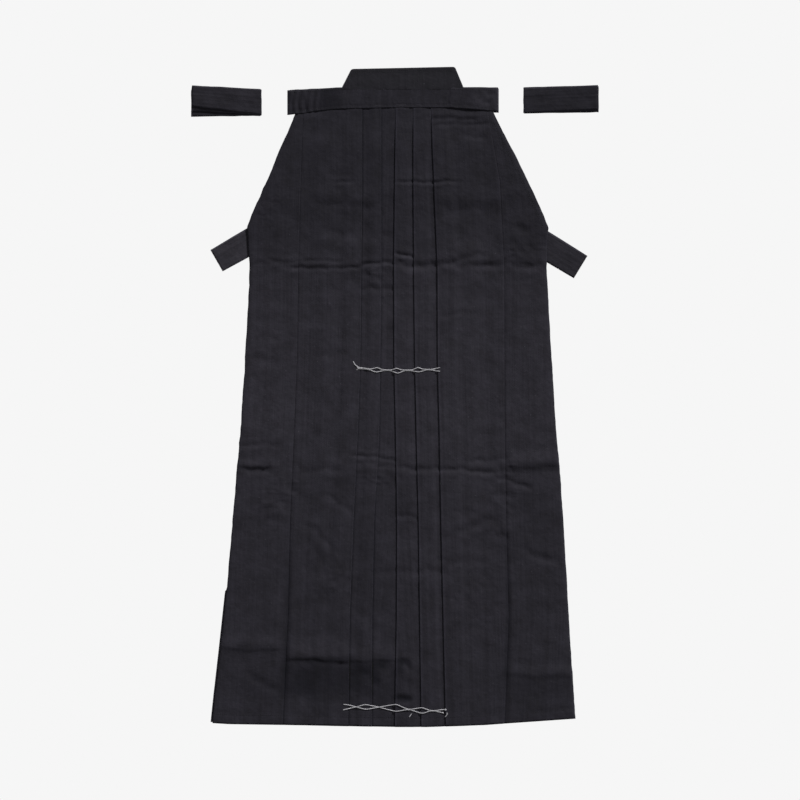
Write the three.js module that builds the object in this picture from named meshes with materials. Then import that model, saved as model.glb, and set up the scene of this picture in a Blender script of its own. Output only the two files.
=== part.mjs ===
// Hakama: wide pleated trousers of black cotton twill, laid flat with the front up.
// Millimetres. +Y runs to the waist, +X to the wearer's left, +Z up from the surface it lies on.
// The origin is on that surface, at the middle of the bounding box.

import * as THREE from 'three';

// Cloth
const CLOTH = 1.0; // wall of one layer
const GAP = 0.3; // air left at a seam and between two layers
const STEP = CLOTH + GAP; // rise from one layer to the next
const TURN = STEP / 2; // radius of a pressed fold, at the middle of the wall
const PLEAT_DEPTH = 0.66; // of the room between two pleats, how much the hidden folds take
const SLOPE = 8; // length over which a strip comes down from its fold
const PAST_FOLD = 1; // a strip lies level until this far past the hidden fold
const STRIP_END = 1.5; // and is down this far short of the next fold line

// Back
const BACK_TOP = 464.2; // upper edge, sewn to the board
const BACK_PLEAT_DEPTH = 20;
const BACK_SLOPE = 10;
const BACK_SEAM_EDGE = 2; // the folds reach this far towards the middle seam
const BACK_HEM_RISE = 1.5; // the back ends this much above the front's hem
const BACK_EDGE_INSET = 1.5;

// Front
const CENTRE_HALF = 118; // half of the width that lies over the pleats of the back
const SIDE_HALF = 142; // from here outwards the front lies on one layer
const CREASE_HEIGHT = 1.4; // rise of the three creases left by folding for the shelf

// Straps
const TIE_WIDTH = 41;
const BAND = 2.0; // wall of the front band, two layers of cloth and its stiffening
const BAND_RIGHT_END = -171.6;
const BAND_LEFT_END = 165;
const BAND_SLIP = 1.6; // its left end, folded under, lies this much out of line
const BAND_FALL = 1.6; // its upper edge lies this much lower, along the tipped board
const BUNDLE_WALL = 1.6; // wall of a front tie, cloth folded double
const BUNDLE_STEP = BUNDLE_WALL + GAP;

// Board of the back, covered with cloth
const BOARD = 3.6;
const BOARD_BEVEL = 0.7;
const BOARD_ROUND = 3.5; // at its corners
const BOARD_LIFT = 3.6; // its lower edge lies on the layers of the back
const BOARD_BOTTOM = 465;
const BOARD_TOP = 528;

// Crotch gusset
const GUSSET_WIDTH = 52;
const GUSSET_LENGTH = 110;
const GUSSET_MIDDLE = -60;

// Outer edges from the waist to the hem. The slits end at y 270. From y -309 down, the right edge
// is that of the back.
const outline = [
  { y: 464, right: -159.5, left: 158.5 },
  { y: 427, right: -169.6, left: 171.2 },
  { y: 389, right: -186.6, left: 190.6 },
  { y: 350, right: -202.6, left: 209.7 },
  { y: 312, right: -220, left: 227.8 },
  { y: 290, right: -229, left: 237.3 },
  { y: 270, right: -236.5, left: 245 },
  { y: 206, right: -232, left: 242.3 },
  { y: 131, right: -235.3, left: 246 },
  { y: 43, right: -240.3, left: 251.2 },
  { y: -53, right: -247, left: 257.2 },
  { y: -129, right: -253.3, left: 264 },
  { y: -206, right: -260, left: 269.5 },
  { y: -304, right: -268.1, left: 275 },
  { y: -314, right: -271.9, left: 275.4 },
  { y: -400, right: -281.3, left: 280.4 },
  { y: -475, right: -289.8, left: 285.7 },
  { y: -528, right: -294.3, left: 289 },
];

// Outer edges of the back. Below the slits it follows the front, and near the hem its right side
// lies a little further out.
const backOutline = [
  { y: 465, right: -98, left: 124 },
  { y: 270, right: -235, left: 241.5 },
];
const BACK_SHOWS_BELOW = -309;
const BACK_SHOWS = 3;

// Fold lines of the five front pleats, and the seams that join the side widths to the front.
const pleats = [
  { y: 464, outerRight: -53, innerRight: -22.5, centre: 1.5, innerLeft: 29.5, outerLeft: 57.5 },
  { y: 345, outerRight: -53, innerRight: -22.5, centre: 0, innerLeft: 29.5, outerLeft: 62.5 },
  { y: 208, outerRight: -54.5, innerRight: -22.5, centre: -1.5, innerLeft: 30.5, outerLeft: 68 },
  { y: 60, outerRight: -56, innerRight: -24, centre: -1, innerLeft: 32, outerLeft: 68.5 },
  { y: -60, outerRight: -60.5, innerRight: -26, centre: 1.5, innerLeft: 34.5, outerLeft: 71.5 },
  { y: -200, outerRight: -67, innerRight: -34, centre: 3.5, innerLeft: 38, outerLeft: 74 },
  { y: -350, outerRight: -73, innerRight: -37, centre: 3, innerLeft: 40, outerLeft: 77.5 },
  { y: -528, outerRight: -75.5, innerRight: -38, centre: 0, innerLeft: 42.5, outerLeft: 81.5 },
];
const sideSeams = [
  { y: 464, right: -147, left: 148 },
  { y: 345, right: -151, left: 168 },
  { y: 208, right: -155, left: 175 },
  { y: 60, right: -157, left: 175.5 },
  { y: -60, right: -162, left: 176 },
  { y: -200, right: -168, left: 178 },
  { y: -350, right: -171.5, left: 182 },
  { y: -528, right: -179.5, left: 175.5 },
];

// Middle seam of the back, and how far from it the fold of its pleat lies on each side.
const backPleats = [
  { y: 465, middle: 13, fold: 32 },
  { y: 250, middle: 2, fold: 46 },
  { y: -528, middle: 0, fold: 76 },
];

// Underside of the back: it lies on the crossed ties near the waist and on the surface below them.
const rises = [
  { y: 465, rise: 2 * STEP },
  { y: 325, rise: 2 * STEP },
  { y: 290, rise: STEP },
  { y: 208, rise: STEP },
  { y: 170, rise: 0 },
  { y: -528, rise: 0 },
];

// Hem, and both edges of the front band, across the width.
const hemLine = [
  { x: -295, y: -522 },
  { x: -265, y: -523.8 },
  { x: -170, y: -525.2 },
  { x: -75, y: -526.8 },
  { x: 0, y: -528 },
  { x: 50, y: -528 },
  { x: 143, y: -525.3 },
  { x: 191, y: -521.8 },
  { x: 290, y: -515 },
];
const bandEdges = [
  { x: -171, lower: 451.5, upper: 490.8 },
  { x: -147, lower: 454.5, upper: 492.7 },
  { x: -128, lower: 457, upper: 493.6 },
  { x: -103, lower: 459.5, upper: 494.4 },
  { x: -83, lower: 461, upper: 495.3 },
  { x: 0, lower: 463, upper: 495.5 },
  { x: 88, lower: 463, upper: 495.8 },
  { x: 130, lower: 460, upper: 495.8 },
  { x: 150, lower: 458.5, upper: 495.5 },
  { x: 165, lower: 457.5, upper: 495.3 },
];

// Rows at which a section of the front is set out: waist, creases, ends of the slits, hem.
const frontRows = [
  464, 427, 375, 325, 290, 270, 228, 208, 188, 170, 100, 20,
  -95, -115, -135, -200, -304, -314, -400, -415, -430, -480, -528,
];
const backRows = [464, 325, 290, 270, 208, 170, 20, -150, -304, -314, -420, -528];
const creases = [208, -115, -415];

// Value of a named column, straight between the rows of a table.
function valueAt(table, key, where, column) {
  const rising = table[0][key] < table[table.length - 1][key];
  const rows = rising ? table : [...table].reverse();
  if (where <= rows[0][key]) return rows[0][column];
  for (let i = 1; i < rows.length; i += 1) {
    const low = rows[i - 1];
    const high = rows[i];
    if (where <= high[key]) {
      return THREE.MathUtils.mapLinear(where, low[key], high[key], low[column], high[column]);
    }
  }
  return rows[rows.length - 1][column];
}

const pleat = (name, y) => valueAt(pleats, 'y', y, name);
const sideSeam = (side, y) => valueAt(sideSeams, 'y', y, side);
const edge = (side, y) => valueAt(outline, 'y', y, side);
const rise = (y) => valueAt(rises, 'y', y, 'rise');
const hem = (x) => valueAt(hemLine, 'x', x, 'y');

// Side edge of the front, which stops short of the back where the back shows beyond it.
function frontEdge(side, y) {
  const covered = side === 'right' && y < BACK_SHOWS_BELOW;
  return edge(side, y) + (covered ? BACK_SHOWS : 0);
}

function backEdge(side, y) {
  const outwards = side === 'right' ? -1 : 1;
  if (y > backOutline[1].y) return valueAt(backOutline, 'y', y, side);
  if (side === 'right' && y < BACK_SHOWS_BELOW) return edge(side, y);
  return edge(side, y) - outwards * BACK_EDGE_INSET;
}

// Underside of the lowest layer of the front. It lies higher over the pleats of the back.
function frontBase(x, y) {
  const away = THREE.MathUtils.clamp((Math.abs(x) - CENTRE_HALF) / (SIDE_HALF - CENTRE_HALF), 0, 1);
  const crease = creases.includes(y) ? CREASE_HEIGHT : 0;
  return rise(y) + STEP * (3 - 2 * away) + crease;
}

// Moves a line sideways by a distance, keeping that distance on both sides of each corner.
function offsetLine(line, distance) {
  const normals = line.slice(1).map((point, i) => {
    const along = new THREE.Vector2().subVectors(point, line[i]).normalize();
    return new THREE.Vector2(-along.y, along.x);
  });
  return line.map((point, i) => {
    const before = normals[Math.max(i - 1, 0)];
    const after = normals[Math.min(i, normals.length - 1)];
    const mitre = new THREE.Vector2().addVectors(before, after).normalize();
    return point.clone().addScaledVector(mitre, distance / mitre.dot(after));
  });
}

// A wall of cloth. Each section is the middle line of the wall as points (across, height), and
// place puts a point of section number row into the model.
function clothWall(sections, wall, place) {
  const count = sections[0].length;
  const positions = [];
  sections.forEach((section, row) => {
    const upper = offsetLine(section, wall / 2);
    const lower = offsetLine(section, -wall / 2);
    for (let i = 0; i < count; i += 1) {
      positions.push(...place(upper[i].x, upper[i].y, row, i));
      positions.push(...place(lower[i].x, lower[i].y, row, i));
    }
  });
  const indices = [];
  const quad = (a, b, c, d) => indices.push(a, b, c, a, c, d);
  const corner = (row, i, side) => (row * count + i) * 2 + side;
  for (let row = 0; row < sections.length - 1; row += 1) {
    for (let i = 0; i < count - 1; i += 1) {
      const next = i + 1;
      quad(corner(row, i, 0), corner(row, next, 0), corner(row + 1, next, 0), corner(row + 1, i, 0));
      quad(corner(row, i, 1), corner(row + 1, i, 1), corner(row + 1, next, 1), corner(row, next, 1));
    }
    const last = count - 1;
    quad(corner(row, 0, 0), corner(row + 1, 0, 0), corner(row + 1, 0, 1), corner(row, 0, 1));
    quad(
      corner(row, last, 0),
      corner(row, last, 1),
      corner(row + 1, last, 1),
      corner(row + 1, last, 0),
    );
  }
  const end = sections.length - 1;
  for (let i = 0; i < count - 1; i += 1) {
    quad(corner(0, i, 0), corner(0, i, 1), corner(0, i + 1, 1), corner(0, i + 1, 0));
    quad(corner(end, i, 0), corner(end, i + 1, 0), corner(end, i + 1, 1), corner(end, i, 1));
  }
  return facingOut(positions, indices);
}

// Turns all the triangles round if they enclose their solid inside out.
function facingOut(positions, indices) {
  const point = (i) => new THREE.Vector3().fromArray(positions, indices[i] * 3);
  let volume = 0;
  for (let i = 0; i < indices.length; i += 3) {
    volume += point(i).dot(point(i + 1).cross(point(i + 2)));
  }
  const geometry = new THREE.BufferGeometry();
  geometry.setAttribute('position', new THREE.Float32BufferAttribute(positions, 3));
  geometry.setIndex(volume < 0 ? indices.reverse() : indices);
  geometry.computeVertexNormals();
  return geometry;
}

// Section of a panel from [across, layer] stops, on a base that gives the underside of layer 0.
function layered(stops, base) {
  return stops.map(([x, layer]) => new THREE.Vector2(x, base(x) + layer * STEP + CLOTH / 2));
}

// One pressed pleat as stops. It starts at the strip that runs under the fold, goes back to the
// fold line and comes out on top. side is 1 where the hidden folds lie towards +X.
function pleatStops(line, depth, side) {
  return [
    [line + side * (depth - TURN), 0],
    [line + side * depth, 0.5],
    [line + side * (depth - TURN), 1],
    [line + side * TURN, 1],
    [line, 1.5],
    [line + side * TURN, 2],
    [line + side * (depth + PAST_FOLD), 2],
  ];
}

// Stops where the front comes down beside the pleats of the back.
const shoulder = (side) => [
  [side * CENTRE_HALF, 0],
  [side * SIDE_HALF, 0],
];

function frontLeftSection(y) {
  const centre = pleat('centre', y);
  const inner = pleat('innerLeft', y);
  const outer = pleat('outerLeft', y);
  const depth = PLEAT_DEPTH * (inner - centre);
  const outerDepth = PLEAT_DEPTH * (outer - inner);
  const stops = [
    [centre + depth - PAST_FOLD, 1],
    ...pleatStops(centre, depth, 1).slice(3),
    [inner - STRIP_END, 0],
    ...pleatStops(inner, depth, 1),
    [outer - STRIP_END, 0],
    ...pleatStops(outer, outerDepth, 1),
    [outer + outerDepth + SLOPE, 0],
    ...shoulder(1),
    [sideSeam('left', y) - GAP / 2, 0],
  ];
  return layered(stops, (x) => frontBase(x, y));
}

function frontRightSection(y) {
  const centre = pleat('centre', y);
  const inner = pleat('innerRight', y);
  const outer = pleat('outerRight', y);
  const depth = PLEAT_DEPTH * (inner - outer);
  const tail = PLEAT_DEPTH * (pleat('innerLeft', y) - centre);
  const stops = [
    [sideSeam('right', y) + GAP / 2, 0],
    ...shoulder(-1).reverse(),
    [outer - depth - SLOPE, 0],
    ...pleatStops(outer, depth, -1).reverse(),
    [outer + STRIP_END, 0],
    ...pleatStops(inner, depth, -1).reverse(),
    [centre + tail - PAST_FOLD, 0],
  ];
  return layered(stops, (x) => frontBase(x, y));
}

function frontSideSection(side, y) {
  const outwards = side === 'right' ? -1 : 1;
  const seam = sideSeam(side, y) + (outwards * GAP) / 2;
  const rim = frontEdge(side, y);
  const stops = [
    [seam, 0],
    [(seam + rim) / 2, 0],
    [rim, 0],
  ];
  return layered(stops, (x) => frontBase(x, y));
}

function backSection(side, y) {
  const outwards = side === 'right' ? -1 : 1;
  const middle = valueAt(backPleats, 'y', y, 'middle');
  const fold = middle + outwards * valueAt(backPleats, 'y', y, 'fold');
  const stops = [
    [backEdge(side, y), 0],
    [fold + outwards * (BACK_PLEAT_DEPTH + SLOPE), 0],
    [fold + outwards * TURN, 0],
    [fold, 0.5],
    [fold + outwards * TURN, 1],
    [fold + outwards * (BACK_PLEAT_DEPTH - TURN), 1],
    [fold + outwards * BACK_PLEAT_DEPTH, 1.5],
    [fold + outwards * (BACK_PLEAT_DEPTH - TURN), 2],
    [fold - outwards * BACK_SEAM_EDGE, 2],
    [fold - outwards * (BACK_SEAM_EDGE + BACK_SLOPE), 0],
    [middle + (outwards * GAP) / 2, 0],
  ];
  return layered(stops, () => rise(y));
}

// Rows run from the waist to the hem, and the first and the last follow the edge of the cloth.
function frontPanel(section) {
  const last = frontRows.length - 1;
  return clothWall(frontRows.map(section), CLOTH, (x, z, row) => {
    if (row === 0) return [x, valueAt(bandEdges, 'x', x, 'lower') - GAP, z];
    if (row === last) return [x, hem(x), z];
    return [x, frontRows[row], z];
  });
}

function backPanel(side) {
  const last = backRows.length - 1;
  return clothWall(backRows.map((y) => backSection(side, y)), CLOTH, (x, z, row) => {
    if (row === 0) return [x, BACK_TOP, z];
    if (row === last) return [x, hem(x) + BACK_HEM_RISE, z];
    return [x, backRows[row], z];
  });
}

// The band's section at its lower edge (across 0) or its upper edge (across 1). Both ends are
// folded back under it, and its middle climbs over the board.
function bandSection(across) {
  const low = BAND / 2;
  const high = low + BAND + STEP;
  const turn = (high - low) / 2;
  const middle = BOARD_LIFT + BOARD + GAP + BAND / 2 - BAND_FALL * across;
  const points = [
    [-125, low],
    [BAND_RIGHT_END + low + turn, low],
    [BAND_RIGHT_END + low, low + turn],
    [BAND_RIGHT_END + low + turn, high],
    [-128, high],
    [-104, middle],
    [-83, middle],
    [0, middle],
    [88, middle],
    [130, middle],
    [150, high],
    [BAND_LEFT_END - low - turn, high],
    [BAND_LEFT_END - low, low + turn],
    [BAND_LEFT_END - low - turn, low],
    [132, low],
  ];
  return points.map(([x, z]) => new THREE.Vector2(x, z));
}

function frontBand() {
  const leftFold = 12; // number of the point where the left end turns under
  return clothWall([0, 1].map(bandSection), BAND, (x, z, row, i) => {
    const side = row === 0 ? 'lower' : 'upper';
    const slip = i > leftFold ? BAND_SLIP : 0;
    return [x + slip, valueAt(bandEdges, 'x', x, side) - slip, z];
  });
}

// The board of the back is a trapezium with slightly rounded corners, tipped so that its top edge
// rests on the surface and its lower edge lies on the layers of the back.
function backBoard() {
  const corners = [
    new THREE.Vector2(-99.5, BOARD_BOTTOM),
    new THREE.Vector2(122, BOARD_BOTTOM),
    new THREE.Vector2(96, BOARD_TOP),
    new THREE.Vector2(-69, 524.5),
  ];
  const shape = new THREE.Shape();
  corners.forEach((point, i) => {
    const before = corners[(i + 3) % 4].clone().sub(point).setLength(BOARD_ROUND).add(point);
    const after = corners[(i + 1) % 4].clone().sub(point).setLength(BOARD_ROUND).add(point);
    if (i === 0) shape.moveTo(before.x, before.y);
    else shape.lineTo(before.x, before.y);
    shape.quadraticCurveTo(point.x, point.y, after.x, after.y);
  });
  shape.closePath();
  const geometry = new THREE.ExtrudeGeometry(shape, {
    depth: BOARD - 2 * BOARD_BEVEL,
    bevelThickness: BOARD_BEVEL,
    bevelSize: BOARD_BEVEL,
    bevelOffset: -BOARD_BEVEL,
    bevelSegments: 2,
    curveSegments: 3,
  });
  geometry.translate(0, -BOARD_TOP, BOARD_BEVEL);
  geometry.rotateX(-Math.atan(BOARD_LIFT / (BOARD_TOP - BOARD_BOTTOM)));
  geometry.translate(0, BOARD_TOP, 0);
  return geometry;
}

// A tie of the back: a flat strap from the board's corner to its free end. rests gives the height
// of its underside at a few distances from the board.
function backTie({ start, end, rests }) {
  const along = new THREE.Vector2().subVectors(end, start);
  const length = along.length();
  along.normalize();
  const across = new THREE.Vector2(-along.y, along.x).multiplyScalar(TIE_WIDTH / 2);
  const stops = [...rests, { distance: length, height: 0 }];
  const section = stops.map((stop) => new THREE.Vector2(stop.distance, stop.height + CLOTH / 2));
  return clothWall([section, section], CLOTH, (distance, z, row) => {
    const side = row === 0 ? 1 : -1;
    const point = start.clone().addScaledVector(along, distance).addScaledVector(across, side);
    return [point.x, point.y, z];
  });
}

// A front tie folded up like a fan into a flat bundle. Each row of layers gives the heights of the
// strap's middle at the bundle's inner and outer end.
function tieBundle({ inner, outer, layers }) {
  const turn = BUNDLE_STEP / 2;
  const towards = Math.sign(outer - inner);
  const innermost = inner + (towards * BUNDLE_WALL) / 2;
  const outermost = outer - (towards * BUNDLE_WALL) / 2;
  const path = [];
  layers.forEach((layer, n) => {
    const z = n * BUNDLE_STEP + BUNDLE_WALL / 2;
    const atInner = { x: innermost + towards * turn, y: layer.inner };
    const atOuter = { x: outermost - towards * turn, y: layer.outer };
    const outwards = n % 2 === 0;
    const [from, to] = outwards ? [atInner, atOuter] : [atOuter, atInner];
    path.push({ ...from, z }, { ...to, z });
    if (n < layers.length - 1) {
      path.push({ x: outwards ? outermost : innermost, y: to.y, z: z + turn });
    }
  });
  const section = path.map((point) => new THREE.Vector2(point.x, point.z));
  return clothWall([section, section], BUNDLE_WALL, (x, z, row, i) => {
    return [x, path[i].y + (row === 0 ? TIE_WIDTH : -TIE_WIDTH) / 2, z];
  });
}

// The gusset is a kite of cloth at the crotch, between the front and the back.
function gusset() {
  const half = GUSSET_WIDTH / 2;
  const shape = new THREE.Shape();
  shape.moveTo(0, GUSSET_MIDDLE + GUSSET_LENGTH / 2);
  shape.lineTo(-half, GUSSET_MIDDLE);
  shape.lineTo(0, GUSSET_MIDDLE - GUSSET_LENGTH / 2);
  shape.lineTo(half, GUSSET_MIDDLE);
  shape.closePath();
  const geometry = new THREE.ExtrudeGeometry(shape, { depth: CLOTH, bevelEnabled: false });
  geometry.translate(0, 0, STEP);
  return geometry;
}

function twill(name, color) {
  return new THREE.MeshStandardMaterial({ name, color, roughness: 0.86, metalness: 0 });
}

const blackTwill = twill('black cotton twill', 0x29282d);
const tieTwill = twill('black cotton twill, folded double', 0x302f34);
const boardTwill = twill('black cotton twill over a stiff board', 0x252429);

// Ties of the back, from a corner of the board across beneath the garment and out at the other side.
const rightTie = {
  start: new THREE.Vector2(-110, 456),
  end: new THREE.Vector2(295.2, 209.3),
  rests: [
    { distance: 0, height: STEP },
    { distance: 195, height: STEP },
    { distance: 245, height: 0 },
  ],
};
const leftTie = {
  start: new THREE.Vector2(128, 455),
  end: new THREE.Vector2(-283.2, 219.5),
  rests: [
    { distance: 0, height: STEP },
    { distance: 50, height: 0 },
  ],
};

// Front ties, each folded into a bundle, from the lowest layer to the top one.
const rightBundle = {
  inner: -214.5,
  outer: -326.4,
  layers: [
    { inner: 470.5, outer: 469 },
    { inner: 471, outer: 475 },
    { inner: 470.5, outer: 473 },
    { inner: 471, outer: 478 },
    { inner: 472, outer: 478 },
  ],
};
const leftBundle = {
  inner: 205,
  outer: 326.4,
  layers: [
    { inner: 475.5, outer: 476 },
    { inner: 475, outer: 478 },
    { inner: 475.5, outer: 476 },
    { inner: 475, outer: 477 },
    { inner: 475, outer: 478.3 },
  ],
};

const pieces = [
  ['back_right', backPanel('right'), blackTwill],
  ['back_left', backPanel('left'), blackTwill],
  ['gusset', gusset(), blackTwill],
  ['front_right', frontPanel(frontRightSection), blackTwill],
  ['front_left', frontPanel(frontLeftSection), blackTwill],
  ['front_side_right', frontPanel((y) => frontSideSection('right', y)), blackTwill],
  ['front_side_left', frontPanel((y) => frontSideSection('left', y)), blackTwill],
  ['front_band', frontBand(), blackTwill],
  ['back_board', backBoard(), boardTwill],
  ['back_tie_right', backTie(rightTie), tieTwill],
  ['back_tie_left', backTie(leftTie), tieTwill],
  ['front_tie_right', tieBundle(rightBundle), tieTwill],
  ['front_tie_left', tieBundle(leftBundle), tieTwill],
];

const hakama = new THREE.Group();
hakama.name = 'hakama';
for (const [name, geometry, material] of pieces) {
  const piece = new THREE.Mesh(geometry, material);
  piece.name = name;
  hakama.add(piece);
}

export default hakama;
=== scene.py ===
"""A hakama of black cotton twill, laid flat with its front up: five pressed pleats held by white
basting threads, the stiff board of the back above the band, crossed ties and folded front ties."""
import math

import bpy
import numpy as np
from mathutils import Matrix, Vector
from mathutils.bvhtree import BVHTree


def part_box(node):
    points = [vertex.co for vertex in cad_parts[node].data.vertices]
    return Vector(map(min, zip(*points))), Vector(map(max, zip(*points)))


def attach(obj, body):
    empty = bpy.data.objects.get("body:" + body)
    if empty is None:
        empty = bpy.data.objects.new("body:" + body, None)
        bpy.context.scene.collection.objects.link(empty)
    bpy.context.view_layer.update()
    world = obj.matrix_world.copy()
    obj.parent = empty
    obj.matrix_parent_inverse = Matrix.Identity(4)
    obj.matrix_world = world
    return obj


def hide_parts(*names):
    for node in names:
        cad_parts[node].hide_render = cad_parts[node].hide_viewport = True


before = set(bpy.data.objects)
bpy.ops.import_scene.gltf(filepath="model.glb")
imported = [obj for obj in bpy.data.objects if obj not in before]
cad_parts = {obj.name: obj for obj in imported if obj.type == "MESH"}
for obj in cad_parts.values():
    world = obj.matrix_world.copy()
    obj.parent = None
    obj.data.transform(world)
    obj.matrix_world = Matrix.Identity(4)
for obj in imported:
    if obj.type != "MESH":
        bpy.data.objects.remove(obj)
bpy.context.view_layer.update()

# Sizes are in millimetres up to the moment a mesh is made. +Y is the waist, +X the wearer's left.
MM = 0.001
WALL = 0.8  # cloth as it shows
STEP = 1.3  # from one layer of cloth to the next, as in the solids
TURN = STEP / 2  # radius of a pressed fold
LIFT = 2.1  # the front lies this much above its solid, so that troughs find room below
DEEPEST = -1.95
SQUEEZE = 0.38  # the layers are pressed together where they are sewn up at the waist
CENTRE_HALF = 118  # the front lies on its pleats this far out, and flat from SIDE_HALF on
SIDE_HALF = 142

WAIST_Y = 464
HEM_Y = -528
SLIT_Y = 271
BEND = 70  # rows this near the waist and the hem bend along those edges
TUCK = 5  # the front runs this far up under the band
HEM_DEPTH = 15
STRAP_POINTS = np.linspace(-1, 1, 15)  # across a strap, from edge to edge


def table(names, rows):
    """Rows of numbers under the names of their columns."""
    return [dict(zip(names.split(), row)) for row in rows]


# The outer edges. From y -309 down the right edge is that of the back.
OUTLINE = table("y right left", [
    (464, -154, 152),
    (452, -159.5, 158.5),
    (427, -169.6, 171.2),
    (389, -186.6, 190.8),
    (350, -202.4, 210),
    (312, -220, 228),
    (290, -229.3, 237.6),
    (271, -236.3, 245),
    (252, -234.5, 243),
    (206, -232, 242.3),
    (131, -235.3, 246),
    (43, -240.3, 251.2),
    (-53, -247, 257.2),
    (-129, -253.3, 264),
    (-206, -260, 269.5),
    (-307, -268.3, 275),
    (-311, -271.6, 275.2),
    (-400, -281.3, 280.4),
    (-475, -289.8, 285.7),
    (-528, -294.6, 289.4),
])
EDGE_OUT = 0.7  # the shells' edges, beyond those of the solids
BACK_TOP = 464.2
BACK_TOP_EDGE = {"right": -98, "left": 124}
BACK_INSET = 1.5
BACK_SHOWS_BELOW = -309
BACK_SHOWS = 3  # the front's right edge is this far inside the back's
BACK_HEM_RISE = 1.5
BACK_PLEAT_DEPTH = 20

# The fold lines of the five pleats, and the seams of the side widths.
PLEATS = table("y seam_r outer_r inner_r centre inner_l outer_l seam_l", [
    (464, -147, -53, -22.5, 1.5, 29.5, 57.5, 148),
    (345, -151, -53, -22.5, 0, 29.5, 62.5, 168),
    (208, -155, -54.5, -22.5, -1.5, 30.5, 68, 175),
    (60, -157, -56, -24, -1, 32, 68.5, 175.5),
    (-60, -162, -60.5, -26, 1.5, 34.5, 71.5, 176),
    (-200, -168, -67, -34, 3.5, 38, 74, 178),
    (-350, -171.5, -73, -37, 3, 40, 77.5, 182),
    (-528, -179.5, -75.5, -38, 0, 42.5, 81.5, 175.5),
])
BACK_PLEATS = table("y middle fold", [
    (465, 13, 32),
    (250, 2, 46),
    (-528, 0, 76),
])
# The cloth lies on the crossed ties near the waist.
RISES = table("y rise", [
    (465, 2 * STEP),
    (325, 2 * STEP),
    (290, STEP),
    (208, STEP),
    (170, 0),
    (-528, 0),
])
HEM_LINE = table("x y", [
    (-295, -522),
    (-265, -523.8),
    (-170, -525.2),
    (-75, -526.8),
    (0, -528),
    (50, -528),
    (143, -525.3),
    (191, -521.8),
    (290, -515),
])
BAND_EDGES = table("x lower upper", [
    (-172, 451.3, 490.9),
    (-147, 454.2, 492.7),
    (-128, 457, 493.6),
    (-103, 459.5, 494.6),
    (-83, 461, 495.6),
    (0, 463, 495.6),
    (88, 463, 495.8),
    (130, 460, 495.8),
    (150, 458.5, 495.5),
    (165.4, 457.5, 495.3),
])


def column(table, key, where, name):
    """A named column of a table, straight between its rows, for one place or an array of them."""
    rows = sorted(table, key=lambda row: row[key])
    return np.interp(where, [row[key] for row in rows], [row[name] for row in rows])


def smooth(values, low, high):
    """0 below low, 1 above high, and an easy curve between."""
    t = np.clip((values - low) / (high - low), 0, 1)
    return t * t * (3 - 2 * t)


def rumple(x, y, size_x, size_y, seed):
    """Soft uneven ground from -1 to 1, with lumps about size_x by size_y."""
    cells = np.random.default_rng(seed).uniform(-1, 1, (64, 64))
    u, v = np.asarray(x) / size_x + 500.3, np.asarray(y) / size_y + 500.7
    i, j = np.floor(u).astype(int), np.floor(v).astype(int)
    s, t = u - i, v - j
    s, t = s * s * (3 - 2 * s), t * t * (3 - 2 * t)
    low = cells[i % 64, j % 64] * (1 - s) + cells[(i + 1) % 64, j % 64] * s
    high = cells[i % 64, (j + 1) % 64] * (1 - s) + cells[(i + 1) % 64, (j + 1) % 64] * s
    return low * (1 - t) + high * t


def bell(distance, width, power=2):
    """1 on a line, and falling away to both sides of it over a width."""
    return np.exp(-((distance / width) ** power))


# ---------------------------------------------------------------- creases

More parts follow.
